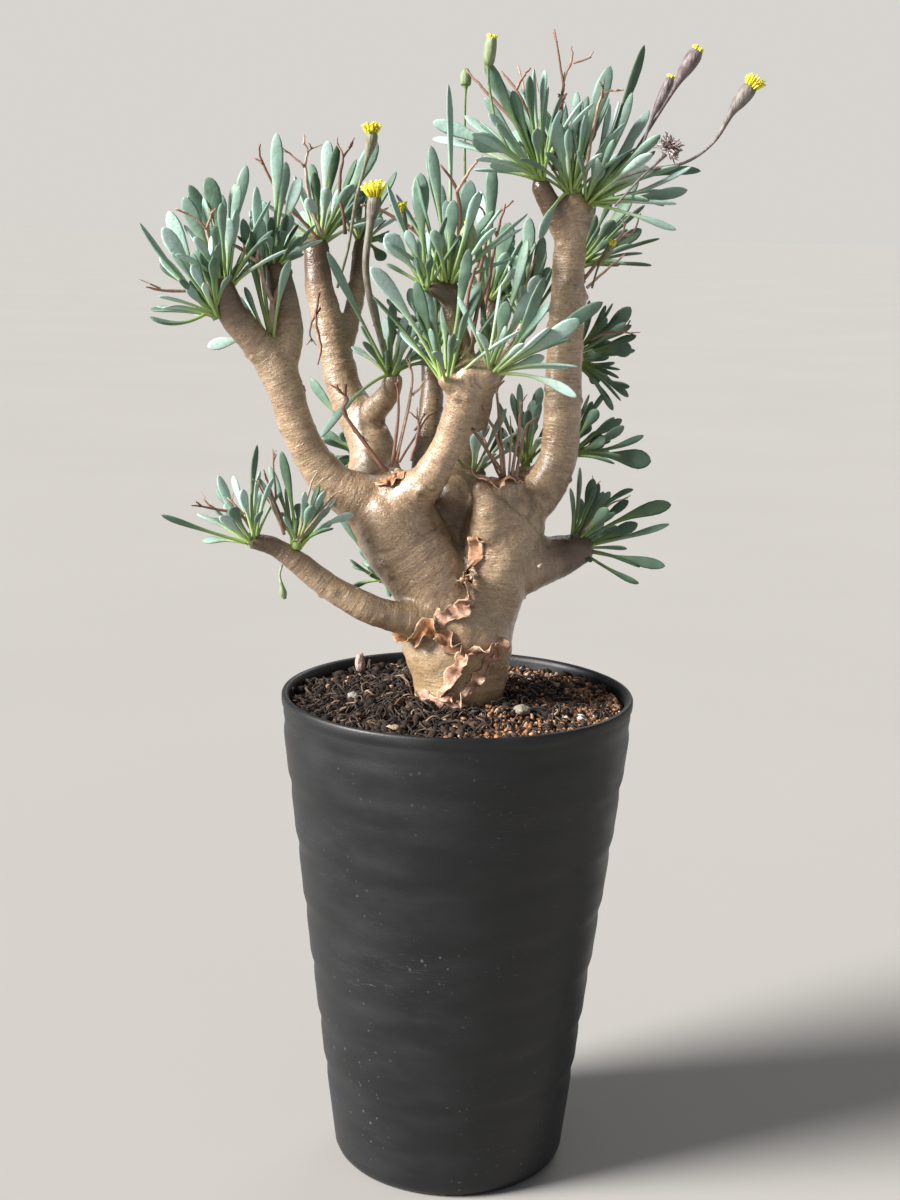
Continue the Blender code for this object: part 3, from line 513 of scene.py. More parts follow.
# ---- Caudex ----------------------------------------------------------------------------------
# The woody stem swells at its foot and divides again and again. Its skin is one silky bronze bark,
# finely ringed across each limb, cream where it is stretched and dark at old scars, with painted
# shade darkening it in the forks and wherever other limbs crowd it.
# Each limb's points from its foot: (x, y, z, radius).
LIMBS = {
    "trunk": ((0.5, -1, 117, 9.5), (0.5, -1, 124, 11), (0.5, -1, 131, 11.8), (0.5, -1, 138, 13),
        (0, -1, 145, 14.7), (-0.5, -1, 151, 14.6)),
    "trunk_back": ((0, 4, 150, 11), (-2, 6, 165, 10), (-2, 7, 178, 9), (-2, 7, 186, 6)),
    "left_shoulder": ((-2, -1, 149, 13), (-4.5, -2, 158, 11.3), (-9, -3, 166, 11),
        (-14.5, -3, 174, 11.5), (-18.5, -4, 181, 11.2)),
    "right_shoulder": ((3, 0, 149, 12), (6, 0, 158, 10.4), (9, 0, 167, 10.8), (11, 0, 175, 11),
        (12, 0, 181, 10.4)),
    "left_limb": ((-19, -4, 182, 9.5), (-27, -6, 186, 7), (-33.5, -7, 189.5, 5.7),
        (-39.5, -8, 197.5, 4.7), (-43.5, -9, 206.5, 4.6), (-46, -10, 214.5, 4.8),
        (-49, -10, 221.5, 5.1)),
    "left_fork_outer": ((-49, -10, 221.5, 4.7), (-54, -12, 227, 4.2), (-58.5, -14, 232.5, 3.8),
        (-61.5, -15.5, 239.5, 3.6)),
    "left_fork_inner": ((-47.5, -10, 219.5, 4.3), (-45.5, -8, 227.5, 4.1), (-46.5, -6, 235, 3.8),
        (-48.5, -4, 244, 3.5)),
    "rear_limb": ((-19, 0, 182, 9), (-23, 6.5, 189, 7.5), (-24.5, 12, 196.5, 6.3),
        (-27.5, 15.5, 203.5, 5.7), (-32, 18, 210.5, 5.1), (-34.5, 19.5, 218.5, 4.6),
        (-37, 21, 228.5, 4.3), (-40, 22.5, 239.5, 3.9), (-41, 24, 250, 3.6)),
    "rear_twig": ((-33.5, 20.5, 221.5, 2.8), (-30.5, 27, 235.5, 2.6), (-29, 32, 251, 2.5)),
    "rear_spur": ((-26.5, 13.5, 204.5, 4.2), (-20.5, 9, 211.5, 3.2), (-19, 7, 215.5, 2.8)),
    "front_limb": ((-17, -5, 184, 9), (-12, -9, 188.5, 6.2), (-8.5, -12, 192.5, 4.8),
        (-4.5, -14.5, 200, 4.1), (-1.5, -16.5, 208, 4.2), (0.5, -18, 214.5, 4.8),
        (1.5, -20, 219.5, 4.5)),
    "front_knob_left": ((-0.5, -19, 216.5, 3.9), (-3.5, -20.5, 218.5, 3.3)),
    "front_knob_right": ((2, -19, 217, 3.9), (5.5, -20.5, 219.5, 3.5)),
    "olive_shoot": ((1, -19, 219, 3.3), (-0.5, -17.5, 226.5, 2.7), (-3, -17, 234.5, 2.6),
        (-4.5, -16, 241, 2.6)),
    "olive_shoot_node": ((-3.5, -17, 238.5, 2.5), (-8, -20, 241, 2.1)),
    "middle_shoot": ((-6, 7, 183, 5), (-1.5, 13.5, 191.5, 3.8), (3.5, 14, 204.5, 3.2),
        (5.5, 15, 216.5, 3.1), (7, 15.5, 227.5, 3.1), (6.5, 17, 235.5, 3)),
    "pale_shoot": ((-10, 10, 186, 5), (-10, 19.5, 196.5, 3.6), (-9, 24.5, 209, 3.3),
        (-9.5, 28, 221, 2.9)),
    "right_limb": ((9, 0, 179, 10), (15, 1, 183, 7.6), (21.5, 2, 188, 5.7), (25, 2, 196, 5.1),
        (26, 2, 207, 5), (26, 2, 223, 4.9), (26.5, 2, 238, 4.5), (26.5, 2, 250, 4.2),
        (26.5, 1, 262, 3.8)),
    "right_limb_bump": ((27, 2, 236, 4.3), (28.4, 2.2, 239, 3.5)),
    "crown_fork_left": ((26, 1, 253, 3.4), (22, -1, 260, 3), (18.5, -2.5, 266.5, 2.7)),
    "crown_fork_right": ((27, 2, 253, 3.2), (30, 3, 260.5, 2.8)),
    "hidden_shoot": ((14, 8, 180, 5), (22, 17, 189.5, 3.6), (26.5, 21, 204.5, 3),
        (28, 23.5, 221.5, 2.8), (28.5, 25, 235.5, 2.7), (30, 27, 243.5, 2.5)),
    "right_stub": ((12, 0, 166.5, 8.5), (20.5, 2, 168.5, 7), (27, 4, 170, 5.6), (31.5, 5, 171.5, 4.6)),
    "dry_stub": ((8, -6, 178, 6), (7, -9, 186, 4.6), (5, -10, 190, 3.2)),
    "dry_saddle": ((4, -10, 190, 2.6), (9, -9, 189.5, 2.8), (14.5, -7, 190.5, 2.4)),
    "low_branch": ((-5, -7, 152, 7), (-12, -11.5, 154.5, 5), (-18, -14.5, 156.5, 4.2),
        (-25, -17, 159.5, 3.9), (-34.5, -18, 165, 3.4), (-41.5, -19.5, 171, 3.1),
        (-47.5, -20.5, 175, 2.6), (-52, -22, 176.5, 2.3)),
    "rear_stub_low": ((-10, 4, 158, 4), (-17, 13, 160.5, 3), (-20.5, 18, 160.5, 2.5)),
    "rear_stub_left": ((-21, 6, 188, 5), (-25, 19, 191.5, 3.2), (-27.5, 28, 193, 2.5)),
    "rear_stub_middle": ((0, 5, 183, 4), (4, 13, 190.5, 2.6)),
    "rear_stub_right": ((14, 6, 182, 5), (17, 18, 190, 2.8)),
    "middle_spur": ((5, 14.5, 212, 3), (11, 14.5, 222, 2.6), (15.5, 14, 230, 2.3)),
}
GREEN_LIMBS = ("olive_shoot", "olive_shoot_node")
GROWING_LIMBS = ("left_fork_outer", "left_fork_inner", "rear_limb", "rear_twig", "olive_shoot",
                 "olive_shoot_node", "middle_shoot", "middle_spur", "pale_shoot", "crown_fork_left",
                 "crown_fork_right", "hidden_shoot", "low_branch", "right_stub", "rear_stub_low",
                 "rear_stub_left", "rear_stub_middle", "rear_stub_right")
KNOBS = ((-47.5, -12.5, 219, 1.3), (26, -2.5, 243, 1.0), (0.5, -13, 166, 1.3), (-20, -13, 170, 1.2),
         (21, -12, 170, 1.0), (-7, -13, 159, 0.9), (-27, 10, 200, 1.0))
SKIN_STEP = 0.72
SMOOTHINGS = 7
SCARS = 230
DARK_TIP = 15
# How far the rays that place the painted shade on the bark reach, in millimetres.
SHADE_RAY_REACH = 16

wood = toned()
limb_points = []
for name, limb in LIMBS.items():
    path = smooth_path(limb, 7)
    tube(wood, path, 24)
    x, y, z, radius = path[-1]
    bmesh.ops.create_icosphere(wood, subdivisions=3, radius=radius * MM,
                               matrix=Matrix.Translation(Vector((x, y, z)) * MM))
    # How far each point is from the root, on a limb that starts where its parent already is.
    near = min(limb_points, key=lambda p: (Vector(p[0]) - Vector(path[0][:3])).length, default=None)
    run = near[1] if near else 0
    spans = [0] + [(Vector(b[:3]) - Vector(a[:3])).length for a, b in zip(path, path[1:])]
    lengths = np.cumsum(spans)
    for point, length in zip(path, lengths):
        to_tip = (lengths[-1] - length) if name in GROWING_LIMBS else 99
        limb_points.append((tuple(point[:3]), run + length, point[3], to_tip, float(name in GREEN_LIMBS)))
for x, y, z, radius in KNOBS:
    bmesh.ops.create_icosphere(wood, subdivisions=2, radius=radius * MM,
                               matrix=Matrix.Translation(Vector((x, y, z)) * MM))
rough_stem = mesh_object("rough_stem", wood)
skin = rough_stem.modifiers.new("skin", "REMESH")
skin.mode = "VOXEL"
skin.voxel_size = SKIN_STEP * MM
bake_modifiers(rough_stem)

stem = bmesh.new()
stem.from_mesh(rough_stem.data)
bpy.data.objects.remove(rough_stem)
for _ in range(SMOOTHINGS):
    bmesh.ops.smooth_vert(stem, verts=stem.verts, factor=0.5, use_axis_x=True, use_axis_y=True,
                          use_axis_z=True)
axis_tree = KDTree(len(limb_points))
for i, (point, *_) in enumerate(limb_points):
    axis_tree.insert(Vector(point) * MM, i)
axis_tree.balance()
layers = {key: stem.verts.layers.float.new(key) for key in ("run", "tip", "green", "scar", "painted_shade")}
stem.verts.ensure_lookup_table()
rng = random.Random(11)
scars = [(rng.choice(stem.verts).co.copy(), rng.uniform(0.7, 1.9), rng.uniform(0.12, 0.42))
         for _ in range(SCARS)]
scar_tree = KDTree(len(scars))
for i, (spot, *_) in enumerate(scars):
    scar_tree.insert(spot, i)
scar_tree.balance()
stem.normal_update()
moved = []
for vert in stem.verts:
    near = [limb_points[i] for _, i, _ in axis_tree.find_n(vert.co, 6)]
    pull = [1 / (0.3 + abs((vert.co / MM - Vector(p[0])).length - p[2])) for p in near]
    total = sum(pull)
    run, girth, tip, green = (sum(w * p[k] for w, p in zip(pull, near)) / total for k in (1, 2, 3, 4))
    vert[layers["run"]] = run * MM
    vert[layers["tip"]] = max(0, 1 - tip / DARK_TIP)
    vert[layers["green"]] = green
    swell = noise.noise(vert.co / MM / 9) * 0.5 + noise.noise(vert.co / MM / 3.6) * 0.26
    wrinkle = noise.noise(Vector((vert.co.x, vert.co.y, run * MM * 3.2)) * 240) * 0.09
    lift = swell * min(1, girth / 7) + wrinkle + max(0, noise.noise(vert.co * 520) - 0.2) * 0.3
    for spot, i, gap in scar_tree.find_range(vert.co, 2 * MM):
        near_edge = gap / MM / scars[i][1]
        if near_edge < 1:
            lift += scars[i][2] * (1 - near_edge ** 2) ** 2 * 1.8 - 0.3 * max(0, 1 - near_edge * 3)
            vert[layers["scar"]] = max(vert[layers["scar"]], 1 - near_edge)
    moved.append(vert.co + vert.normal * lift * MM)
for vert, spot in zip(stem.verts, moved):
    vert.co = spot
# Painted shade darkens the bark where other limbs crowd it: a few short rays from each point feel for them.
stem.normal_update()
bark_surface = BVHTree.FromBMesh(stem)
for vert in stem.verts:
    side = vert.normal.orthogonal().normalized()
    other = vert.normal.cross(side)
    hits = 0
    for lean in (side, other, -side, -other):
        ray = (vert.normal + lean * 0.9).normalized()
        hit = bark_surface.ray_cast(vert.co + vert.normal * 0.4 * MM, ray, SHADE_RAY_REACH * MM)
        hits += hit[3] is not None
    vert[layers["painted_shade"]] = hits / 4
neighbours = [[edge.other_vert(vert).index for edge in vert.link_edges] for vert in stem.verts]
for key in ("painted_shade", "tip", "green"):
    values = [vert[layers[key]] for vert in stem.verts]
    for _ in range(8):
        values = [sum(values[i] for i in near) / len(near) for near in neighbours]
    for vert, value in zip(stem.verts, values):
        vert[layers[key]] = value

bark, tree, shader, place = look("silvery_bark", Specular_IOR_Level=0.9, Coat_Roughness=0.34)
flat = add(tree, "SeparateXYZ", {"Vector": place}).outputs
run = attribute(tree, "run")
cross = add(tree, "CombineXYZ", {"X": times(tree, flat["X"], 0.13), "Y": times(tree, flat["Y"], 0.13),
                                 "Z": run}).outputs["Vector"]
rings = mottle(tree, cross, 1000, 0.3, 0.7)
broad = mottle(tree, cross, 170)
fine = mottle(tree, cross, 2600, 0.3, 0.7)
grain = mottle(tree, place, 1900)
patch = mottle(tree, place, 75)
blotch = mottle(tree, stretched(tree, place, 0.6, 0.6, 1), 330, 0.38, 0.64)
shade = blend(tree, patch, (0.2, 0.098, 0.043), (0.38, 0.225, 0.112))
shade = wash(tree, blotch, 0.5, shade, (0.12, 0.06, 0.03))
shade = wash(tree, broad, 0.55, shade, (0.55, 0.385, 0.225))
shade = wash(tree, rings, 0.6, shade, (0.1, 0.05, 0.025))
shade = wash(tree, fine, 0.42, shade, (0.72, 0.555, 0.37))
rust = times(tree, mottle(tree, place, 42, 0.55, 0.72), blotch)
shade = wash(tree, rust, 0.6, shade, (0.3, 0.13, 0.045))
low = between(tree, flat["Z"], 0.166, 0.138)
shade = wash(tree, low, 0.85, shade, blend(tree, patch, (0.33, 0.215, 0.11), (0.56, 0.41, 0.235)))
freckled = stretched(tree, place, 0.55, 0.55, 1)
speckle = times(tree, specks(tree, freckled, 1500, 0.62), grain)
shade = wash(tree, speckle, 0.6, shade, (0.085, 0.045, 0.026))
pale = specks(tree, stretched(tree, freckled, 1, 1, 1.6), 1300, 0.42)
shade = wash(tree, pale, 0.32, shade, (0.78, 0.64, 0.46))
shade = wash(tree, attribute(tree, "green"), 0.85, shade,
             blend(tree, rings, (0.27, 0.23, 0.07), (0.14, 0.11, 0.04)))
tips = between(tree, maths(tree, "ADD", attribute(tree, "tip"), times(tree, patch, 0.3)), 0.1, 0.85)
shade = wash(tree, tips, 0.88, shade, (0.06, 0.026, 0.012))
scab = between(tree, attribute(tree, "scar"), 0.35, 0.9)
shade = wash(tree, scab, 0.5, shade, (0.09, 0.045, 0.026))
# Painted shade: the bark is darkened where the rays met limbs close by, varied a little by the grain.
painted_crevice_shade = between(tree, maths(tree, "ADD", attribute(tree, "painted_shade"), times(tree, grain, 0.15)), 0.2, 1.0)
shade = wash(tree, painted_crevice_shade, 0.8, shade, (0.05, 0.027, 0.015))
soil = between(tree, maths(tree, "SUBTRACT", flat["Z"], times(tree, patch, 0.004)), 0.1335, 0.129)
shade = wash(tree, soil, 0.8, shade, (0.04, 0.023, 0.015))
tree.links.new(shade, shader.inputs["Base Color"])
tree.links.new(ramp(tree, blend(tree, 0.5, rings, patch), (0, 0.27), (1, 0.45)), shader.inputs["Roughness"])
tree.links.new(ramp(tree, tips, (0, 0.55), (1, 0.05)), shader.inputs["Coat Weight"])
bump(tree, shader, (rings, 0.09), (fine, 0.06), (grain, 0.05), (blotch, 0.12))
piece("stem_skin", stem, bark, "caudex")

# ---- Leaves ----------------------------------------------------------------------------------
# Each growing tip carries a crown of thick, spoon-shaped leaves on thin stalks. A pale blue wax dusts
# the blades, and the stalks and the crown's heart stay yellow-green.
# Where each crown sprouts, then its leaves: the tip's place from there, the blade's width, how far the
# blade turns away in degrees, and how far the middle sags, if it does.
CROWNS = {
    "left_outer": ((-63.5, -16, 234.5), (-18, -2, 21, 1.5, 60, 2), (-15, -6, -2, 2, 60, 3),
        (-14, 5, 11, 3, 20), (-12, -3, 20, 4, 15, 1), (-12, 6, 24, 4, 15, 1), (-9, -7, 14, 1.5, 50),
        (-5, -9, 6, 2, 40, 1), (-6, 9, -2, 2.5, 40), (-4, -8, 14, 2, 50), (1, -9, 18, 1.5, 60)),
    "left_top": ((-60.5, -14, 241), (-10, -3, 21, 4, 10, 1), (-10, 6, 24, 3.5, 20), (-6, 3, 21, 2, 40),
        (-5, 4, 26, 4.5, 10, -1), (-3, 0, 14, 3, 20), (2, -8, 16, 3, 10), (4, -4, 24, 2.5, 10),
        (5, 2, 29, 3, 10)),
    "left_fork": ((-50, -10.5, 228), (-3, -2, 37, 2.5, 20), (-17, 9, -4, 3, 20), (-7, 3, 29, 2.5, 50),
        (-4, -5, 26, 2, 60), (-3, 4, 25, 2.5, 30), (-10, 6, 10, 2, 50)),
    "left_inner": ((-50, -3, 245.5), (-4, -6, 12, 4, 10), (1, 0, 33, 3.5, 0, 1), (3, 4, 26, 3, 20),
        (7, 1, 22, 3.5, 10), (0, -5, 12, 2, 40), (3, -9, 8, 2, 40, -1), (-2, -2, 16, 2, 40),
        (8, -3, 4, 3, 20), (-4, 5, 15, 2.5, 30), (4, 7, 13, 3, 30)),
    "rear_top": ((-40, 24, 252), (-3, 6, 20, 3, 10), (2, 0, 26, 3.5, 0), (5, -4, 25, 2.5, 10, 1),
        (10, -6, 21, 2, 40, 1), (15, 2, 26, 4.5, 0, 1), (6, 4, 14, 3.5, 20, 1),
        (12, -1, 13, 3.5, 20, 1), (-6, 5, 7, 3.5, 30), (-10, 3, 0, 3, 30), (8, 8, 7, 3.5, 30)),
    "rear_twig": ((-29, 32, 252.5), (-3, 0, 13, 3, 30), (2, 2, 14, 3, 20), (5, 3, 6, 3, 30),
        (9, 2, 18, 2, 50, 1), (-5, 4, 9, 3, 30), (7, -3, 0, 3.5, 30), (6, 2, -6, 3, 40)),
    "rear_spur": ((-19.5, 7, 218), (-17, -3, 31, 2.5, 30, 1), (-6, -2, 21, 2, 40), (0, 2, 18, 2.5, 20),
        (4, -1, 15, 2.5, 30), (12, -5, 5, 2, 50, -1), (14, -2, 2, 2.5, 40, -1),
        (-18, -9, -17, 2.5, 40, -1), (-2, 5, 14, 2.5, 40), (7, 6, 13, 2.5, 30), (-11, 6, 6, 2, 40)),
    "front_left": ((-4.5, -21, 219), (-19, -6, 27, 4, 10, -1), (-8, -2, 24, 3, 20, 1),
        (-6, 2, 23, 2.5, 20, 1), (3, -8, 10, 2, 30, -2), (5, -5, 32, 3, 0), (8, 2, 24, 3, 20)),
    "front_right": ((7, -21, 221.5), (3, -5, 17, 3.5, 0), (-9, -7, 18, 1.5, 40, 1),
        (12, -4, 23, 2.5, 40, 4), (21, -5, 13, 4, 20, 1), (27, 1, 17, 3.5, 20, 1),
        (21, -7, -6, 2.5, 30, -1), (13, 2, 3, 2.5, 20), (8, 3, 32, 2.5, 40, 1), (11, 5, 12, 2.5, 30),
        (16, -1, 10, 1.5, 60)),
    "olive_node": ((-10, -20, 243), (-10, -4, 11, 5, 10, 1), (-10, 2, 23, 1.5, 60, 2),
        (-5, -3, 12, 2.5, 20), (-3, -1, 10, 2.5, 30), (-2, 6, 26, 4.5, 10, 1)),
    "olive_top": ((-4.5, -16, 242.5), (-5, -2, 33, 3, 10), (-6, 5, 31, 2.5, 20), (-1, 1, 20, 3, 10),
        (1, -6, 20, 3.5, 0), (5, 3, 25, 4.5, 10, 1), (-1, 3, 48, 1.5, 50), (1, 0, 12, 2, 40),
        (7, 6, 13, 3, 30)),
    "middle": ((6, 17, 237.5), (0, 0, 35, 3.5, 10), (5, -3, 20, 5, 10, 1), (12, -5, 15, 2.5, 40, 1),
        (-3, 5, 28, 3.5, 30), (4, 5, 13, 3, 30), (14, 4, 8, 4, 20, 1), (-4, -2, 15, 2.5, 40)),
    "crown_left": ((17.5, -3, 270), (-14, -2, 27, 3.5, 10), (-11, 4, 24, 2.5, 20), (-9, 6, 21, 3, 10),
        (-7, 0, 20, 3, 0), (-13, -5, 14, 2.5, 30), (-14, -1, 18, 2, 40), (1, -2, 25, 2, 40, -1),
        (-19, 7, 14, 2.5, 20), (-17, 8, 13, 2, 40), (-27, 2, 12, 3.5, 20, -1), (-27, 5, 8, 2.5, 20, -1),
        (-17, -8, 7, 5, 10, -1), (-3, 4, 11, 2.5, 30)),
    "crown_top": ((26, 0, 266.5), (-21, -8, 5, 2.5, 40, -1), (-5, -9, 16, 4.5, 0, 1),
        (1, 2, 24, 2.5, 20, 1), (4, 5, 23, 2, 30), (9, -2, 30, 4, 10, 1), (-8, -12, -13, 2.5, 30, -1),
        (-7, 6, 19, 2.5, 30), (6, 5, 16, 3, 20)),
    "crown_right": ((31, 3, 263.5), (13, 3, 39, 2.5, 30, 1), (10, -1, 27, 2.5, 30, 1),
        (15, 4, 23, 3, 20, 1), (12, 8, 17, 2.5, 20), (16, -6, 15, 2, 40, -1), (15, -5, 8, 3.5, 30, -1),
        (29, 4, 8, 2, 40, -2), (26, -1, 9, 1.5, 60, 2), (25, -3, 3, 2.5, 40, 1),
        (20, 4, -1, 1.5, 60, -1), (22, -8, -7, 1.5, 50, 1), (5, 6, 16, 2.5, 30)),
    "right_upper": ((31, 26, 247.5), (15, 3, 22, 2.5, 30, 1), (13, -2, 17, 3, 30),
        (16, 0, 9, 3.5, 20, 1), (6, 3, 2, 2, 40)),
    "right_middle": ((31, 27, 221.5), (14, 0, 14, 4, 10, 1), (7, -3, 6, 4, 0), (15, 2, 2, 5, 10, -1),
        (10, -4, -1, 1.5, 50, 1), (15, 4, -8, 2, 40, 2), (6, 0, -7, 3, 30), (15, 6, -11, 2.5, 40),
        (10, -4, -14, 1.5, 60)),
    "right_lower": ((30, 23, 196.5), (14, 5, 8, 2.5, 30), (14, -2, 7, 2.5, 30, 1), (9, -4, 4, 4, 10, 1),
        (20, 3, 4, 2, 40, 2), (22, 0, -3, 5.5, 0), (5, 2, 7, 3, 20)),
    "middle_spur": ((16, 14, 232), (0, -2, 27, 3.5, 10), (4, 0, 22, 3, 20), (-5, 2, 20, 3, 30),
        (6, 3, 14, 3, 20), (-3, -4, 17, 3.5, 20), (3, -5, 12, 3, 30)),
    "right_stub": ((31, 7, 173), (4, -2, 18, 3, 20, 1), (6, 3, 16, 2, 40, 1), (15, 0, 15, 1.5, 50, -3),
        (25, -3, 11.5, 4, 10, -1), (17, 5, 5, 3.5, 10, 1), (25, -1, 6, 2, 30, 1),
        (24, -4, -5, 3, 20, 1), (17, -6, -9.5, 1.5, 50, 2), (4, -6, -4, 1.5, 40)),
    "low_branch": ((-41.5, -20, 177), (-10, -2, 16, 2, 40, 1), (-4, -3, 23, 2.5, 20, 2),
        (-8, 5, 18, 2, 20, 1), (0, 2, 9, 2.5, 20, -1), (2, -4, 13, 1.5, 40), (4, 4, 11, 1.5, 40),
        (6, 6, 9, 1.5, 50), (8, 3, 8, 1.5, 50), (14, 4, 6, 2, 30, -1)),
    "low_tip": ((-53.5, -22, 177.5), (-8, -1, 16, 2.5, 10, 2), (-22, -4, 6, 1.5, 50, 1),
        (-13, 5, -2, 2, 30), (-7, 3, 8, 2, 30), (2, -2, 24, 1.5, 40, 1)),
    "rear_low": ((-22, 18, 161), (-12, -2, 18, 2, 30, 1), (-8, 2, -4, 1.5, 50), (3, -6, -5, 1.5, 30),
        (-3, 3, 8, 2, 20)),
    "rear_left": ((-27.5, 30, 193.5), (-8, -3, -3, 3, 30), (-12, 2, 5, 3, 30), (-3, -4, -6, 3.5, 30),
        (-16, 5, 20, 2.5, 40)),
    "rear_pale": ((-9, 28, 224), (-2, -3, 10, 4.5, 10), (-13, 2, 12, 3, 30, -1), (3, 2, 6, 3, 30),
        (-7, 5, 15, 3.5, 30)),
    "rear_middle": ((2.5, 14, 190), (9, 3, 18, 2, 20, 1), (-4, -2, 4, 1.5, 40), (2, 5, 17, 2, 30),
        (-3, 5, 12, 2, 30)),
    "rear_right": ((17, 19, 194.5), (4, 3, 19, 3, 20), (2, -2, 16, 2.5, 30), (-4, 5, 17, 2, 40),
        (-2, 2, 20, 2, 40), (-6, 3, 3, 1.5, 50)),
}
STATIONS = (0, 0.05, 0.13, 0.24, 0.36, 0.47, 0.57, 0.67, 0.77, 0.86, 0.93, 0.975, 1)
BREADTHS = (0.34, 0.24, 0.17, 0.165, 0.22, 0.33, 0.52, 0.77, 0.97, 0.98, 0.76, 0.45, 0.06)
DEPTHS = (0.62, 0.5, 0.44, 0.44, 0.46, 0.5, 0.54, 0.56, 0.54, 0.48, 0.4, 0.27, 0.05)
LEAF_SIDES = 8
GOLDEN_ANGLE = 2.4
CROWDED = {"crown_left": 26, "crown_top": 20, "crown_right": 26, "left_outer": 28, "left_top": 20,
           "left_inner": 24, "left_fork": 5, "rear_top": 24, "rear_twig": 20, "olive_node": 9,
           "olive_top": 20, "rear_pale": 26, "middle": 26, "right_upper": 24, "right_middle": 26,
           "right_lower": 20, "front_left": 14, "front_right": 14}
FILL_LEAVES = 16
# Crowns in the shade of the stem and limbs: all their leaves are given dark tones as painted shade.
SHADE_PAINTED_CROWNS = ("right_upper", "right_middle", "right_lower", "right_stub", "rear_low", "rear_left", "rear_pale")
rng = random.Random(23)


def leaf(bm, base, tip, crown_axis, half_width, facing, sag, tone):
    """A spoon-shaped leaf from base to tip that leaves the crown a little along its axis."""
    span = tip - base
    length = span.length
    middle = base + span * 0.45 + crown_axis * length * 0.1 - Vector((0, 0, 2 * sag))
    middle += Vector((rng.uniform(-1, 1), rng.uniform(-1, 1), rng.uniform(-1, 1))) * length * 0.03
    twist = rng.uniform(-0.35, 0.35)
    sections = []
    for t, breadth, depth in zip(STATIONS, BREADTHS, DEPTHS):
        centre = base * (1 - t) ** 2 + middle * 2 * t * (1 - t) + tip * t**2
        ahead = ((middle - base) * (1 - t) + (tip - middle) * t).normalized()
        face = (facing - ahead * facing.dot(ahead)).normalized()
        across = ahead.cross(face)
        turn = twist * (t - 0.6)
        rolled = across * math.cos(turn) + face * math.sin(turn)
        face = face * math.cos(turn) - across * math.sin(turn)
        wide = max(half_width * breadth, 0.42 if t < 0.9 else 0)
        thick = depth * (0.75 + 0.1 * half_width)
        sections.append((centre, rolled * wide, face * thick, face * wide * 0.16))

    def shape(i, x, y):
        centre, across, face, cup = sections[i]
        return (centre + across * x + face * y + cup * (x * x - 0.5)) * MM

    lay(bm, len(STATIONS), LEAF_SIDES, tone, shape)


def wax_and_shade_tone(dark):
    """A leaf's tone, where this share of the leaves is dark. A share of 1 gives a crown painted shade."""
    return rng.uniform(0, 0.42) if rng.random() < dark else rng.uniform(0.42, 1)


def crown(name, origin, leaves):
    """One rosette: a knob of young leaves at its heart, its own leaves, then those that fill it out."""
    bm = toned()
    heart = Vector(origin)
    tips = [Vector(row[:3]) for row in leaves]
    mean = sum((tip.normalized() for tip in tips), Vector()).normalized()
    axis = (mean + Vector((0, 0, 0.5))).normalized()
    side = axis.orthogonal().normalized()
    other = axis.cross(side)
    tube(bm, [(*(heart - axis * 2.6), 1.3), (*(heart - axis * 1.2), 1.5), (*(heart + axis * 0.2), 1.2),
              (*(heart + axis * 1.2), 0.5)], 10, 0.2)
    # Painted shade: every leaf of a crown in the shaded list takes a dark tone. Elsewhere about a third do,
    # at random.
    dark = 1 if name in SHADE_PAINTED_CROWNS else 0.36
    lengths = sorted(tip.length for tip in tips)
    usual = lengths[len(lengths) // 2]
    for x, y, z, width, turned_away, *sag in leaves:
        tip = Vector((x, y, z))
        out = tip.normalized()
        base = heart - axis * rng.uniform(-0.3, 1.4) + (out - axis * out.dot(axis)) * 1.5
        turn = math.radians(turned_away) * rng.choice((-1, 1))
        facing = Vector((0, -1, 0.25)).normalized()
        facing = (facing - out * facing.dot(out)).normalized()
        facing = facing * math.cos(turn) + out.cross(facing) * math.sin(turn)
        leaf(bm, base, heart + tip, axis, width / 2 / max(math.cos(turn), 0.42), facing,
             sag[0] if sag else 0, wax_and_shade_tone(dark))
    count = CROWDED.get(name, FILL_LEAVES)
    for i in range(count):
        spread = 0.25 + 1.05 * ((i + 0.5) / count) ** 0.8
        angle = i * GOLDEN_ANGLE + rng.uniform(-0.3, 0.3)
        ring = side * math.cos(angle) + other * math.sin(angle)
        out = (axis * math.cos(spread) + ring * math.sin(spread)).normalized()
        length = usual * rng.uniform(0.66, 1.04)
        tip = heart + out * length + Vector((0, 0, length * 0.08))
        if i % 5 == 4:
            length *= 0.5
            tip = heart + (axis + ring * 0.35) * length
        facing = (axis - out * axis.dot(out)) + Vector((0, 0, 0.15))
        leaf(bm, heart - axis * rng.uniform(0, 1.6) + ring * 1.3, tip, axis,
             rng.uniform(0.9, 1.75) * min(1, length / 13), facing, rng.uniform(-0.4, 0.5), wax_and_shade_tone(dark))
    bmesh.ops.remove_doubles(bm, verts=bm.verts, dist=1e-7)
    piece("leaves_" + name, bm, waxy_leaf, "rosette_" + name)


waxy_leaf, tree, shader, place = look("waxy_leaf", Specular_IOR_Level=0.35)
along = attribute(tree, "along")
tone = attribute(tree, "tone")
blade = ramp(tree, tone, (0, (0.042, 0.082, 0.042)), (0.33, (0.095, 0.165, 0.11)),
             (0.65, (0.235, 0.355, 0.295)), (1, (0.46, 0.6, 0.56)))
bloom = mottle(tree, place, 330, 0.35, 0.7)
blade = wash(tree, times(tree, bloom, tone), 0.5, blade, (0.4, 0.57, 0.51))
blade = wash(tree, mottle(tree, place, 1100, 0.5, 0.75), 0.35, blade, (0.1, 0.2, 0.12))
stalk = blend(tree, tone, (0.2, 0.31, 0.07), (0.38, 0.5, 0.17))
shade = blend(tree, between(tree, along, 0.16, 0.62), stalk, blade)
aged = times(tree, between(tree, along, 0.965, 1.0), mottle(tree, place, 60, 0.4, 0.6))
shade = wash(tree, aged, 0.6, shade, (0.3, 0.13, 0.07))
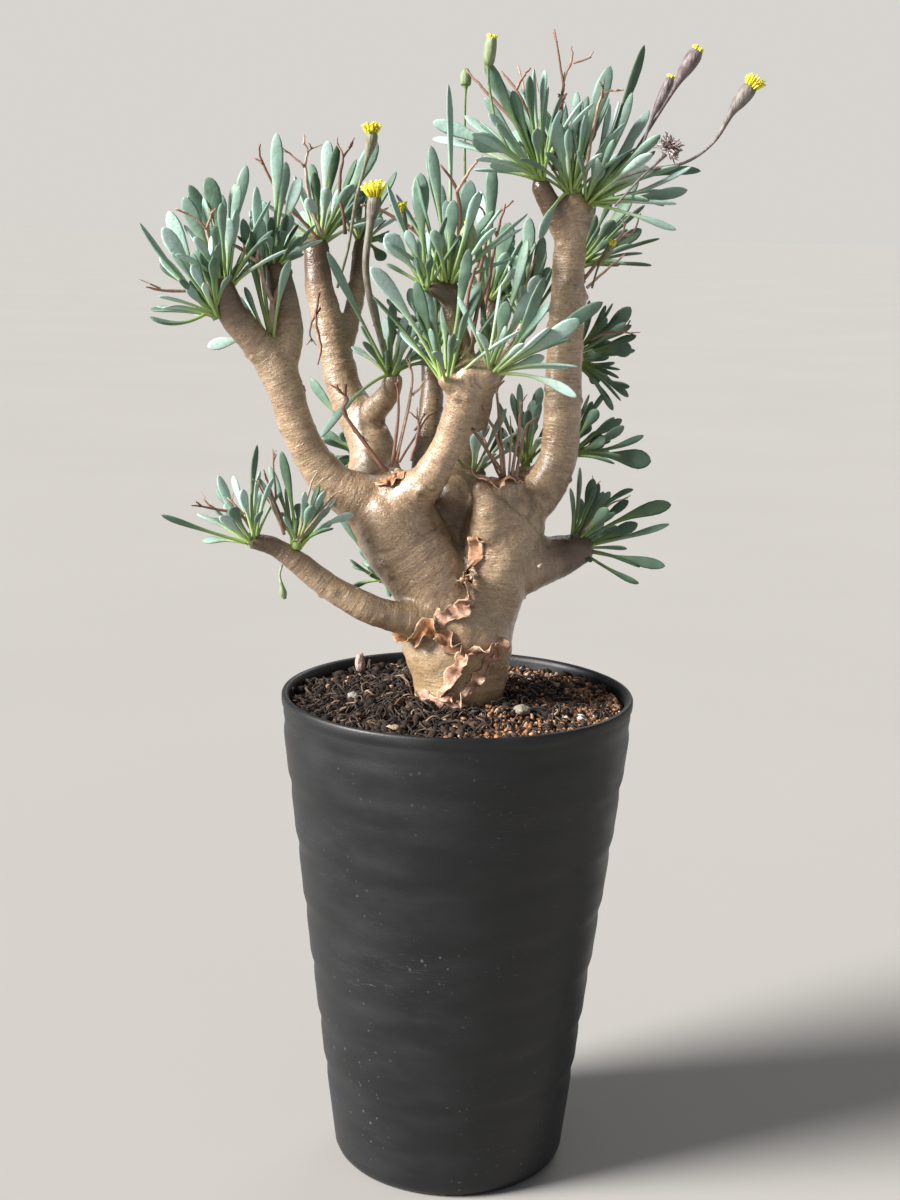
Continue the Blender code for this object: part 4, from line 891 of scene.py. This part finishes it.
tree.links.new(shade, shader.inputs["Base Color"])
tree.links.new(ramp(tree, bloom, (0, 0.44), (1, 0.62)), shader.inputs["Roughness"])
bump(tree, shader, (mottle(tree, place, 900, 0.2, 0.8), 0.05), (mottle(tree, place, 230, 0.2, 0.8), 0.16))
for name, (origin, *leaves) in CROWNS.items():
    crown(name, origin, leaves)

# ---- Flowers and buds ------------------------------------------------------------------------
# Small rayless daisies stand on wiry stalks. A cup of fused, striped bracts holds a tuft of yellow
# florets. Some are still closed buds, and one has gone to seed.
# The stalk and the cup of each, from foot to mouth: (x, y, z, radius).
FLOWERS = {
    "flower_right": ((36, -4, 268, 0.39), (44, -6, 271, 0.39), (54, -7, 273, 0.39), (61, -7, 278, 0.39),
        (65, -7, 285, 0.9), (67, -7, 288, 1.7), (68.7, -7, 290.3, 2), (69.8, -7, 291.8, 1.7)),
    "bud_right_tall": ((38, 8, 268, 0.39), (44, 8, 278, 0.39), (50, 8, 288, 0.39), (53, 8, 293.3, 0.8),
        (55, 8, 297, 1.8), (56.8, 8, 299.8, 2), (57.8, 8, 301.6, 1.5)),
    "bud_right_short": ((40, 3, 268, 0.35), (44, 2, 277, 0.35), (46.3, 2, 284, 0.43), (48, 2, 288, 1.1),
        (50, 2, 292.5, 1.3), (50.8, 2, 294.5, 0.9)),
    "flower_rear": ((-34.5, 14, 239.5, 0.39), (-31.5, 11, 250, 0.39), (-29.5, 9, 262, 0.47),
        (-27, 8, 271.5, 0.47), (-26, 8, 275.5, 1.3), (-25.5, 8, 278, 1.6), (-25.5, 8, 279.5, 1.4)),
    "flower_front": ((-21, -5, 224, 0.47), (-24, -10, 236, 0.8), (-25.5, -12, 246, 0.9),
        (-24.5, -12, 256, 1), (-24, -12, 259, 1.5), (-23.5, -12, 261.5, 1.8), (-23.5, -12, 263, 1.6)),
    "bud_olive_tall": ((10, -6, 275, 0.39), (6.5, -6, 282, 0.35), (4.5, -6, 291, 0.35),
        (4.2, -6, 294.8, 0.47), (4.3, -6, 296.5, 1.4), (4.6, -6, 300, 1.6), (5, -6, 302.3, 1.2)),
    "bud_round": ((-1, 22, 264, 0.39), (-1.5, 21, 280.5, 0.39), (-1.5, 20, 291, 0.39),
        (-1.5, 20, 293, 1.4), (-1.5, 20, 295.5, 1.4), (-1.5, 20, 297, 0.55)),
    "bud_hanging": ((-45.5, -21, 170.5, 0.3), (-46, -22, 168, 0.3), (-45.5, -23, 166, 0.47),
        (-45, -23, 163.5, 1), (-44.5, -23, 162, 0.39)),
    "seed_head": ((37, -8, 262, 0.3), (42, -11, 268, 0.3), (46, -12, 272, 0.35),
        (48.5, -12, 275, 0.9)),
}
# How purple each one is, from green at 0, and how far its florets stand out of the cup.
HEADS = {"flower_right": (0.85, 2.7), "bud_right_tall": (1.0, 0.9), "bud_right_short": (1.0, 0.4),
         "flower_rear": (0.4, 2.3), "flower_front": (0.7, 3.6), "bud_olive_tall": (0.15, 0.7),
         "bud_round": (0.05, 0), "bud_hanging": (0.1, 0), "seed_head": (0.9, 0)}
# Three more small ones, each with the same two values and then its own points.
EXTRA_FLOWERS = {
    "flower_small": (0.3, 2.2, [(-11, -10, 238, 0.34), (-13, -10.5, 247, 0.34), (-15.5, -11, 254, 0.8),
                                (-16.5, -11, 257.5, 1.3), (-17, -11, 259.5, 1.1)]),
    "bud_green_fat": (0.1, 0.3, [(-1.5, -15.5, 240, 0.38), (-1, -16, 246.5, 0.6), (0, -16.5, 251, 2),
                                 (0.2, -16.5, 254.5, 2.1), (0.4, -16.5, 257, 1)]),
    "bud_right_small": (0.3, 0.9, [(33, 8, 241, 0.3), (34.5, 7, 247, 0.34), (36.5, 6, 250, 1.1),
                                   (37.5, 5.5, 252.5, 1)])}
CUP_RIBS = 13
FLUFF_HAIRS = 150
rng = random.Random(31)

stalk_skin, tree, shader, place = look("flower_stalk", Roughness=0.55)
tone = attribute(tree, "tone")
shade = ramp(tree, tone, (0, (0.16, 0.27, 0.08)), (0.4, (0.19, 0.17, 0.1)), (1, (0.115, 0.075, 0.085)))
stripes = mottle(tree, stretched(tree, place, 1, 1, 0.12), 1500, 0.45, 0.6)
groove = ramp(tree, tone, (0, (0.09, 0.19, 0.05)), (1, (0.06, 0.036, 0.045)))
shade = wash(tree, stripes, 0.55, shade, groove)
shade = wash(tree, mottle(tree, place, 500), 0.3, shade, (0.42, 0.4, 0.36))
tree.links.new(shade, shader.inputs["Base Color"])
bump(tree, shader, (stripes, 0.08))
petal, tree, shader, place = look("yellow_floret", Roughness=0.6)
shade = ramp(tree, attribute(tree, "along"), (0, (0.5, 0.5, 0.04)), (0.6, (0.8, 0.7, 0.035)),
             (1, (0.9, 0.84, 0.12)))
shade = blend(tree, attribute(tree, "tone"), shade, (0.75, 0.5, 0.03))
tree.links.new(blend(tree, 0.35, shade, (0.84, 0.8, 0.07)), shader.inputs["Base Color"])
bump(tree, shader, (mottle(tree, place, 2500, 0.2, 0.8), 0.05))
fluff, tree, shader, place = look("seed_fluff", Roughness=0.85)
tree.links.new(ramp(tree, attribute(tree, "tone"), (0, (0.1, 0.07, 0.065)), (0.6, (0.3, 0.235, 0.225)),
                    (1, (0.62, 0.53, 0.5))), shader.inputs["Base Color"])
bump(tree, shader, (mottle(tree, place, 2500, 0.2, 0.8), 0.03))


def floret_tuft(name, mouth, ahead, width, tall):
    """A ragged tuft of narrow florets that opens out from the cup's mouth."""
    bm = toned()
    side = ahead.orthogonal().normalized()
    other = ahead.cross(side)
    count = int(20 + 12 * tall)
    for i in range(count):
        angle = i * GOLDEN_ANGLE
        open_out = math.sqrt((i + 0.5) / count)
        ring = side * math.cos(angle) + other * math.sin(angle)
        lean = open_out * rng.uniform(0.4, 1.15) * (0.58 if tall > 2 else 0.3)
        start = mouth + ring * open_out * width * 0.75 - ahead * 0.7
        out = (ahead * math.cos(lean) + ring * math.sin(lean)).normalized()
        end = start + out * (0.7 + tall) * rng.uniform(0.55, 1.12)
        curl = (ring * 0.9 + ahead * rng.uniform(-0.6, 0.3)) * rng.uniform(0.2, 0.7) * min(1, tall / 2)
        line = [(*start, 0.2), (*start.lerp(end, 0.55), 0.26), (*end, 0.32), (*(end + curl), 0.12)]
        tube(bm, line, 5, rng.random() * 0.5)
    piece(name + "_florets", bm, petal)


def flower(name, hue, tall, line):
    """A bud or flower: its stalk and ribbed cup are one piece, its florets another."""
    bm = toned()
    path = smooth_path(line, 5)
    sections = cross_sections([Vector(point[:3]) for point in path])

    def shape(i, x, y):
        centre, across, other = sections[i]
        radius = path[i][3]
        ribs = 1 + 0.06 * min(1, max(0, radius - 0.8)) * math.cos(CUP_RIBS * math.atan2(y, x))
        return (centre + (across * x + other * y) * radius * ribs) * MM

    lay(bm, len(path), 2 * CUP_RIBS, hue, shape)
    piece(name + "_cup", bm, stalk_skin, name)
    if tall:
        mouth = sections[-1][0]
        floret_tuft(name, mouth, (mouth - sections[-4][0]).normalized(), path[-2][3], tall)


for name, line in FLOWERS.items():
    flower(name, *HEADS[name], line)
for name, (hue, tall, line) in EXTRA_FLOWERS.items():
    flower(name, hue, tall, line)

tuft = toned()
centre = Vector(FLOWERS["seed_head"][3][:3]) + Vector((1, 0, 1.2))
for i in range(FLUFF_HAIRS):
    up = 1 - 2 * (i + 0.5) / FLUFF_HAIRS
    level = math.sqrt(1 - up * up)
    out = Vector((math.cos(i * GOLDEN_ANGLE) * level, math.sin(i * GOLDEN_ANGLE) * level, up))
    if out.dot(Vector((0.6, 0, 0.8))) < -0.5:
        continue
    end = centre + out * rng.uniform(1.3, 3.9) * Vector((1, 1, 0.9)).length / 1.7
    bend = Vector((rng.uniform(-1, 1), rng.uniform(-1, 1), rng.uniform(-1, 1)))
    stout = rng.uniform(0.08, 0.24)
    tube(tuft, [(*(centre + out * 0.3), stout), (*(centre.lerp(end, 0.6) + bend * 0.8), stout),
                (*end, stout), (*(end + bend * 1.1), stout * 0.6)], 5, rng.random())
piece("seed_head_fluff", tuft, fluff)

# ---- Dead stalks -----------------------------------------------------------------------------
# Last year's flower stalks dry on the plant as thin forked twigs, red-brown at the foot and straw
# coloured at the tips. Each cluster is rooted in an old scar. The scraps are dark, and hang down.
# Each cluster's stalks: the radius, then the points from foot to tip.
STALKS = {
    "dead_stalks_fork": ((0.5, (-18.5, -6, 194.5), (-17, -7, 206.5), (-17, -8, 218)),
        (0.45, (-17.5, -6, 196), (-13.5, -6.5, 214.5), (-14, -7, 221)),
        (0.35, (-13.5, -6, 213), (-11.5, -6, 215), (-10, -6, 217.5)),
        (0.4, (-13.5, -6, 196), (-11.5, -6.5, 204), (-12, -7, 208)),
        (0.3, (-12.5, -6, 204), (-9.5, -7, 209)),
        (0.6, (-19.5, -7, 193.5), (-22, -8, 196), (-30.5, -9, 208), (-30, -10, 212), (-32, -11, 214.5)),
        (0.3, (-17, -6, 195.5), (-15.5, -5, 205), (-14, -4, 211.5)),
        (0.3, (-16.5, -6, 195.5), (-10, -4.5, 206.5), (-7, -3, 208.5))),
    "dead_stalks_saddle": ((0.5, (11, -10, 193), (3, -11.5, 204.5), (2, -13, 205.5)),
        (0.45, (10.5, -10, 193), (9, -12, 202.5), (4.5, -14, 212)),
        (0.45, (11, -10, 193.5), (9.5, -11.5, 205), (8.5, -12.5, 215), (10, -14, 218)),
        (0.35, (8.5, -14, 214.5), (8, -15, 217)),
        (0.45, (13, -10, 193), (14.5, -9.5, 206.5), (14.5, -9, 213)),
        (0.45, (14, -10, 193), (16, -8, 205), (19.5, -6, 208.5)),
        (0.3, (12, -10, 193), (12.5, -11, 202.5), (12, -12, 209)),
        (0.4, (10, -10, 192.5), (6.5, -9, 199.5), (5.5, -8, 203))),
    "dead_stalks_left_outer": (
        (0.5, (-65, -16, 237), (-64, -16.5, 246), (-64.5, -17, 253), (-65, -18, 254.5), (-66.5, -18.5, 256),
         (-70.5, -19, 258.5)),
        (0.4, (-64.5, -19, 254.5), (-63, -19, 259)),
        (0.45, (-67, -16, 239), (-75, -20, 239), (-79, -24, 240)),
        (0.3, (-75.5, -24, 239.5), (-78, -25, 241))),
    "dead_stalks_left_fork": (
        (0.75, (-50, -10, 226.5), (-49, -12, 235.5), (-50, -14, 239), (-53, -16, 247.5)),
        (0.5, (-52.5, -16, 246.5), (-54.5, -16.5, 248), (-56, -17, 249.5)),
        (0.4, (-52.5, -16, 246.5), (-52.5, -15, 249.5)),
        (0.55, (-49, -13, 236), (-47.5, -12.5, 240), (-46, -12, 244))),
    "dead_stalks_rear": (
        (0.5, (-39.5, 13, 252), (-43.5, 12, 256.5), (-48, 10.5, 261), (-54, 9, 271.5), (-54.5, 8, 276)),
        (0.35, (-53.5, 8, 271), (-56, 8, 272.5)),
        (0.45, (-38.5, 14, 253), (-42, 13.5, 262), (-43, 13, 271), (-42.5, 12.5, 274.5), (-43.5, 12, 277)),
        (0.35, (-42.5, 12, 274.5), (-41, 11, 275.5)),
        (0.35, (-43, 12, 270.5), (-46, 12, 273), (-48, 12, 274.5)),
        (0.5, (-32.5, 15, 253.5), (-34, 15, 263.5), (-34, 15.5, 270), (-33, 16, 274), (-31, 16, 276.5)),
        (0.35, (-33, 15, 273.5), (-35, 15, 277)),
        (0.35, (-31.5, 16, 254), (-29.5, 16.5, 262.5), (-28.5, 17, 269))),
    "dead_stalks_crown": ((0.85, (22, -2, 270.5), (22.5, -2.5, 280.5), (23, -3, 290)),
        (0.4, (23, -3, 290), (23, -3.5, 293), (20.5, -4, 305)),
        (0.45, (23, -3, 292.5), (25, -3, 297.5), (25, -3, 301)),
        (0.35, (25.5, -3, 297), (27.5, -3, 297.5), (30, -3, 298.5)),
        (0.5, (19, -3, 273), (15, -1.5, 284), (11, 0.5, 291), (7.5, 2, 295)),
        (0.4, (11.5, 0, 290.5), (13, 1, 293.5), (15, 2, 296)),
        (0.5, (18, 2, 276), (9, 3.5, 285), (3, 4.5, 291), (-1.5, 6, 295.5)),
        (0.35, (17.5, 5, 280.5), (14.5, 7, 288.5), (12, 9, 297)),
        (0.5, (29.5, -4, 268.5), (30.5, -4.5, 278), (33, -4.5, 289), (37, -5, 290.5)),
        (0.35, (33, -5, 288.5), (33, -5, 291.5)), (0.3, (19.5, 4, 276), (18, 6, 286), (16.5, 8, 295))),
    "dead_stalks_right": ((0.5, (30.5, 6, 243), (35.5, 8, 249.5), (40.5, 10, 255), (41.5, 12, 258)),
        (0.35, (40.5, 12, 254.5), (43.5, 12, 255.5), (45.5, 12, 260.5)),
        (0.4, (33, 8, 227.5), (38, 10, 229.5), (41.5, 12, 229.5), (44, 14, 232.5)),
        (0.3, (42, 14, 229.5), (44.5, 14, 229)),
        (0.4, (31.5, 8, 241), (37.5, 10, 246.5), (41, 12, 249)),
        (0.35, (31, 7, 174), (35, 6, 179.5), (40, 6, 184), (44.5, 5, 186)),
        (0.3, (31, 7, 174), (34.5, 8, 183), (36, 8, 189.5))),
    "dead_stalks_low_tip": (
        (0.45, (-53, -22, 179.5), (-56, -23, 183.5), (-62.5, -24, 185), (-66.5, -25, 186)),
        (0.35, (-55, -23, 183.5), (-59, -24, 188)), (0.35, (-54, -22, 181.5), (-55.5, -23, 187.5)),
        (0.4, (-45, -22, 178.5), (-48.5, -23, 187.5), (-51.5, -24, 192.5)),
        (0.35, (-44.5, -22, 179.5), (-50, -22, 195)), (0.3, (-47, -22, 187.5), (-48, -20, 200)),
        (0.3, (-62.5, -24, 185), (-65, -25, 187.5)),
        (0.35, (-41.5, -22, 177), (-38.5, -22, 190), (-36.5, -22, 195)),
        (0.3, (-41, -22, 177), (-33.5, -21, 187.5), (-30.5, -20, 190))),
    "dead_stalks_middle": ((0.55, (4, 5, 225.5), (5.5, 2.5, 240), (7.5, 0.5, 254), (9.5, -2, 262)),
        (0.5, (3, 2, 240), (4.5, 1.5, 251.5), (6, 0.5, 257.5), (11.5, 0, 263)),
        (0.4, (7.5, 0, 254), (5, -0.5, 258), (3, -1, 261.5)),
        (0.6, (1.5, -16, 225), (-2.5, -17.5, 233), (-8.5, -19, 240.5)),
        (0.6, (-3.5, -14, 243), (-2, -14.5, 255.5), (-3, -15.5, 265), (-7, -16, 271)),
        (0.5, (-3, -16, 264.5), (-0.5, -16, 268.5), (2, -16, 272.5)),
        (0.65, (-5, 10, 245.5), (-10, 8.5, 251), (-15, 7, 255.5), (-24, 5.5, 260.5), (-28, 4, 261)),
        (0.5, (-14.5, 4, 255.5), (-13, 3.5, 261.5), (-13, 3, 266.5)),
        (0.35, (10.5, 8, 229.5), (13, 10, 241.5), (16.5, 12, 250.5)),
        (0.35, (14, 10, 237.5), (18, 13, 248), (20.5, 16, 259.5))),
    "dead_stalks_front": (
        (0.5, (-0.5, -20, 226), (0.5, -20.5, 238.5), (2, -21.5, 245.5), (3, -22, 247.5)),
        (0.55, (1.5, -20, 225.5), (3, -19.5, 236), (5.5, -19.5, 243.5), (6, -19, 247.5))),
    "dead_scraps": ((0.35, (-39.5, 15, 238), (-40, 13, 231), (-38.5, 12, 224), (-39.5, 12, 219)),
        (0.3, (-39, 15, 234), (-41.5, 12, 229), (-41, 12, 225)),
        (0.5, (-32, 11, 214), (-31.5, 8, 207), (-29, 7, 202), (-26.5, 6, 200))),
}
rng = random.Random(41)
dead_wood, tree, shader, place = look("dead_stalk", Roughness=0.6)
along = attribute(tree, "along")
shade = ramp(tree, attribute(tree, "tone"), (0, (0.11, 0.05, 0.035)), (0.4, (0.24, 0.12, 0.08)),
             (0.75, (0.4, 0.25, 0.175)), (1, (0.6, 0.46, 0.37)))
shade = wash(tree, mottle(tree, place, 650), 0.5, shade, (0.17, 0.08, 0.055))
shade = wash(tree, maths(tree, "POWER", along, 2.0), 0.35, shade, (0.26, 0.12, 0.09))
tree.links.new(shade, shader.inputs["Base Color"])
bump(tree, shader, (mottle(tree, stretched(tree, place, 1, 1, 0.2), 2600, 0.3, 0.7), 0.06))


def twig(bm, radius, points, tone):
    """A dry stalk that thins to its tip and kinks a little at each old node."""
    line = []
    for i, point in enumerate(smooth_path([(*p, 1) for p in points], 3)):
        x, y, z = (Vector(point[:3]) + Vector((rng.uniform(-1, 1), rng.uniform(-1, 1), 0)) * 0.18)
        line.append((x, y, z))
    last = len(line) - 1
    stout = [radius * (1 - 0.55 * (i / last) ** 1.5) * (1.12 if i % 3 == 0 else 1) for i in range(last + 1)]
    tube(bm, [(*p, r) for p, r in zip(line, stout)], 7, tone)
    return line


for name, stalks in STALKS.items():
    bm = toned()
    for radius, *points in stalks:
        tone = 0 if name == "dead_scraps" else rng.uniform(0.15, 1)
        line = twig(bm, radius, points, tone)
        tip = Vector(line[-1])
        ahead = (tip - Vector(line[-4])).normalized()
        for _ in range(rng.choice((0, 1, 2))):
            lean = Vector((rng.uniform(-1, 1), rng.uniform(-1, 1), rng.uniform(-0.3, 0.6)))
            lean = (ahead + lean * 0.9).normalized()
            start = Vector(line[-2])
            twig(bm, radius * 0.6, [start + lean * reach for reach in (0, 1.3, rng.uniform(2, 3.6))], tone)
    piece(name + "_twigs", bm, dead_wood, name)

# ---- Peeling bark ----------------------------------------------------------------------------
# The outer bark splits and curls off in papery flakes, pink-brown outside and tan at its torn edges.
# Each flake: half its width, how high its edge lifts, how far it has bleached from orange to pink, and
# the line that it runs along on the stem.
FLAKES = {
    "bark_ring": (2.3, 2.8, 0.1, (-16, -8, 153.5), (-13, -11, 152.5), (-9, -13, 154), (-5, -14, 152),
        (-2, -15, 149.5), (1.5, -15, 147.5)),
    "bark_loop": (2, 2.6, 0.7, (12.5, -11, 150.5), (10.5, -12, 146.5), (6, -14, 147.5), (2.5, -15, 147),
        (0, -15, 144), (-2, -15, 139.5), (-3.5, -14, 136), (-1.5, -14, 133.3)),
    "bark_upper": (2.5, 3, 0.2, (3, -12, 177), (1.5, -13, 173), (3.5, -13, 168), (3, -14, 165.5)),
    "bark_loop_right": (1.6, 2.2, 1, (8.5, -12, 146.5), (6.8, -13, 143), (5.2, -14, 139.5),
        (3, -14, 136), (0.5, -14, 133.6)),
    "bark_pink_ring": (2.6, 2.8, 0.8, (3.4, -14, 164), (1.5, -14, 160.5), (0.5, -14, 157.5),
        (-3, -14, 157), (-7, -13, 155.8)),
    "bark_crotch": (2.1, 2.4, 0, (-22, -12, 192), (-19.5, -11, 193), (-17, -11, 191.6),
        (-14.5, -10, 193)),
    "bark_collar": (1.7, 1.2, 0.9, (-13, -10, 133.6), (-8, -13, 132.2), (-2, -15, 131.6),
        (3, -14, 131.9)),
    "bark_saddle": (2, 2.2, 0.4, (2.5, -12, 193.5), (7, -11, 190.8), (11, -10, 192), (16, -8, 192)),
}
FLAKE_WALL = 0.22
rng = random.Random(53)
papery, tree, shader, place = look("peeling_bark", Roughness=0.5, Specular_IOR_Level=0.4)
edge = attribute(tree, "tone")
dry = mottle(tree, place, 260, 0.4, 0.65)
fresh = blend(tree, dry, (0.2, 0.07, 0.02), (0.45, 0.2, 0.075))
faded = blend(tree, dry, (0.3, 0.14, 0.095), (0.6, 0.4, 0.31))
shade = blend(tree, attribute(tree, "along"), fresh, faded)
shade = wash(tree, mottle(tree, place, 900, 0.45, 0.7), 0.5, shade, (0.66, 0.48, 0.34))
shade = wash(tree, maths(tree, "POWER", edge, 8.0), 0.6, shade, (0.76, 0.58, 0.4))
shade = wash(tree, mottle(tree, place, 450, 0.52, 0.66), 0.75, shade, (0.1, 0.035, 0.015))
tree.links.new(shade, shader.inputs["Base Color"])
bump(tree, shader, (mottle(tree, place, 1500, 0.2, 0.8), 0.1), (mottle(tree, place, 420, 0.2, 0.8), 0.25))


def drift(a, b, c=0.0):
    return noise.noise(Vector((a, b, c)))


for name, (half, lift, bleached, *line) in FLAKES.items():
    path = smooth_path([(*p, 1) for p in line], 11)
    last = len(path) - 1
    flake = toned()
    bmesh.ops.create_grid(flake, x_segments=last, y_segments=9, size=1)
    tones = flake.verts.layers.float["tone"]
    alongs = flake.verts.layers.float["along"]
    seed = rng.uniform(0, 50)
    rows = []
    for i, point in enumerate(path):
        ahead = Vector((path[min(i + 1, last)] - path[max(i - 1, 0)])[:3]).normalized()
        touch, normal, _, _ = bark_surface.find_nearest(Vector(point[:3]) * MM)
        rows.append((touch, ahead.cross(normal).normalized(), normal))
    for vert in flake.verts:
        i = round((vert.co.x + 1) / 2 * last)
        across = vert.co.y
        touch, side, normal = rows[i]
        # One edge holds on and the other lifts and rolls back over. Which one does drifts along the flake.
        free = max(-1, min(1, drift(i * 0.07, seed) * 7))
        loose = (1 + across * free) / 2
        tear = 0.95 + 0.7 * drift(i * 0.13, seed, across > 0)
        tear += 0.16 * drift(i * 0.7, seed, 2 + (across > 0))
        ends = min(1, (i + 1.5) / 7, (last - i + 1.5) / 7)
        base, out, _, _ = bark_surface.find_nearest(touch + side * across * half * tear * ends * MM)
        curl = lift * loose ** 3 * (0.85 + 1.6 * drift(i * 0.12, seed, 5))
        crumple = 0.4 + 0.4 * max(-0.6, drift(i * 0.14, across * 1.2, seed))
        vert.co = base + (out * (curl + crumple) - side * free * curl * 0.55 * loose) * MM
        vert[tones] = abs(across)
        vert[alongs] = bleached
    made = piece(name + "_flake", flake, papery, name)
    wall = made.modifiers.new("thickness", "SOLIDIFY")
    wall.thickness = FLAKE_WALL * MM
    wall.offset = 0
    bake_modifiers(made)

# ---- Floor, camera and lights ----------------------------------------------------------------
# A plain pale floor and a pale room, a soft key light from the upper left and in front, a weak fill
# and a light from behind.
FLOOR_HALF = 40
floor_mesh = bmesh.new()
bmesh.ops.create_grid(floor_mesh, x_segments=1, y_segments=1, size=FLOOR_HALF)
floor = mesh_object("floor", floor_mesh)
floor_paint, tree, shader, place = look("floor", Roughness=0.9, Specular_IOR_Level=0.2)
shade = blend(tree, mottle(tree, place, 3), (0.338, 0.328, 0.313), (0.346, 0.336, 0.321))
tree.links.new(shade, shader.inputs["Base Color"])
floor.data.materials.append(floor_paint)

SENSOR_HEIGHT = 24
FOCAL_LENGTH_IN_HEIGHTS = 1.5173
EYE = Vector((1.4, -478.3, 256.6)) * MM
PITCH, ROLL, YAW = (math.radians(angle) for angle in (11.65, 1.23, -0.47))
ahead = Vector((math.sin(YAW) * math.cos(PITCH), math.cos(YAW) * math.cos(PITCH), -math.sin(PITCH)))
level = Vector((math.cos(YAW), -math.sin(YAW), 0))
upward = level.cross(ahead)
right = level * math.cos(ROLL) + upward * math.sin(ROLL)
up = upward * math.cos(ROLL) - level * math.sin(ROLL)
camera_data = bpy.data.cameras.new("camera")
camera_data.sensor_fit = "VERTICAL"
camera_data.sensor_height = SENSOR_HEIGHT
camera_data.lens = SENSOR_HEIGHT * FOCAL_LENGTH_IN_HEIGHTS
camera_data.clip_start = 0.01
camera = bpy.data.objects.new("camera", camera_data)
camera.matrix_world = Matrix((right, up, -ahead)).transposed().to_4x4()
camera.location = EYE
bpy.context.scene.collection.objects.link(camera)
bpy.context.scene.camera = camera

for name, toward, power, softness, colour in (
        ("key", (0.9, 0.33, -0.52), 10.5, 22, (1, 0.975, 0.94)),
        ("fill", (-0.8, 0.6, -0.3), 0.2, 60, (0.95, 0.97, 1)),
        ("rear", (-0.3, -0.9, -0.7), 0.6, 30, (1, 0.98, 0.96))):
    lamp_data = bpy.data.lights.new(name, "SUN")
    lamp_data.energy = power
    lamp_data.angle = math.radians(softness)
    lamp_data.color = colour
    lamp = bpy.data.objects.new(name, lamp_data)
    lamp.rotation_euler = Vector(toward).to_track_quat("-Z", "Y").to_euler()
    bpy.context.scene.collection.objects.link(lamp)
world = bpy.data.worlds.new("pale_room")
world.use_nodes = True
tree = world.node_tree
room = tree.nodes["Background"]
room.inputs["Color"].default_value = (0.86, 0.88, 0.92, 1)
room.inputs["Strength"].default_value = 0.28
wall = tree.nodes.new("ShaderNodeBackground")
wall.inputs["Color"].default_value = (0.68, 0.66, 0.63, 1)
seen = tree.nodes.new("ShaderNodeMixShader")
tree.links.new(tree.nodes.new("ShaderNodeLightPath").outputs["Is Camera Ray"], seen.inputs[0])
tree.links.new(room.outputs[0], seen.inputs[1])
tree.links.new(wall.outputs[0], seen.inputs[2])
tree.links.new(seen.outputs[0], tree.nodes["World Output"].inputs["Surface"])
bpy.context.scene.world = world
bpy.context.scene.view_settings.view_transform = "Standard"
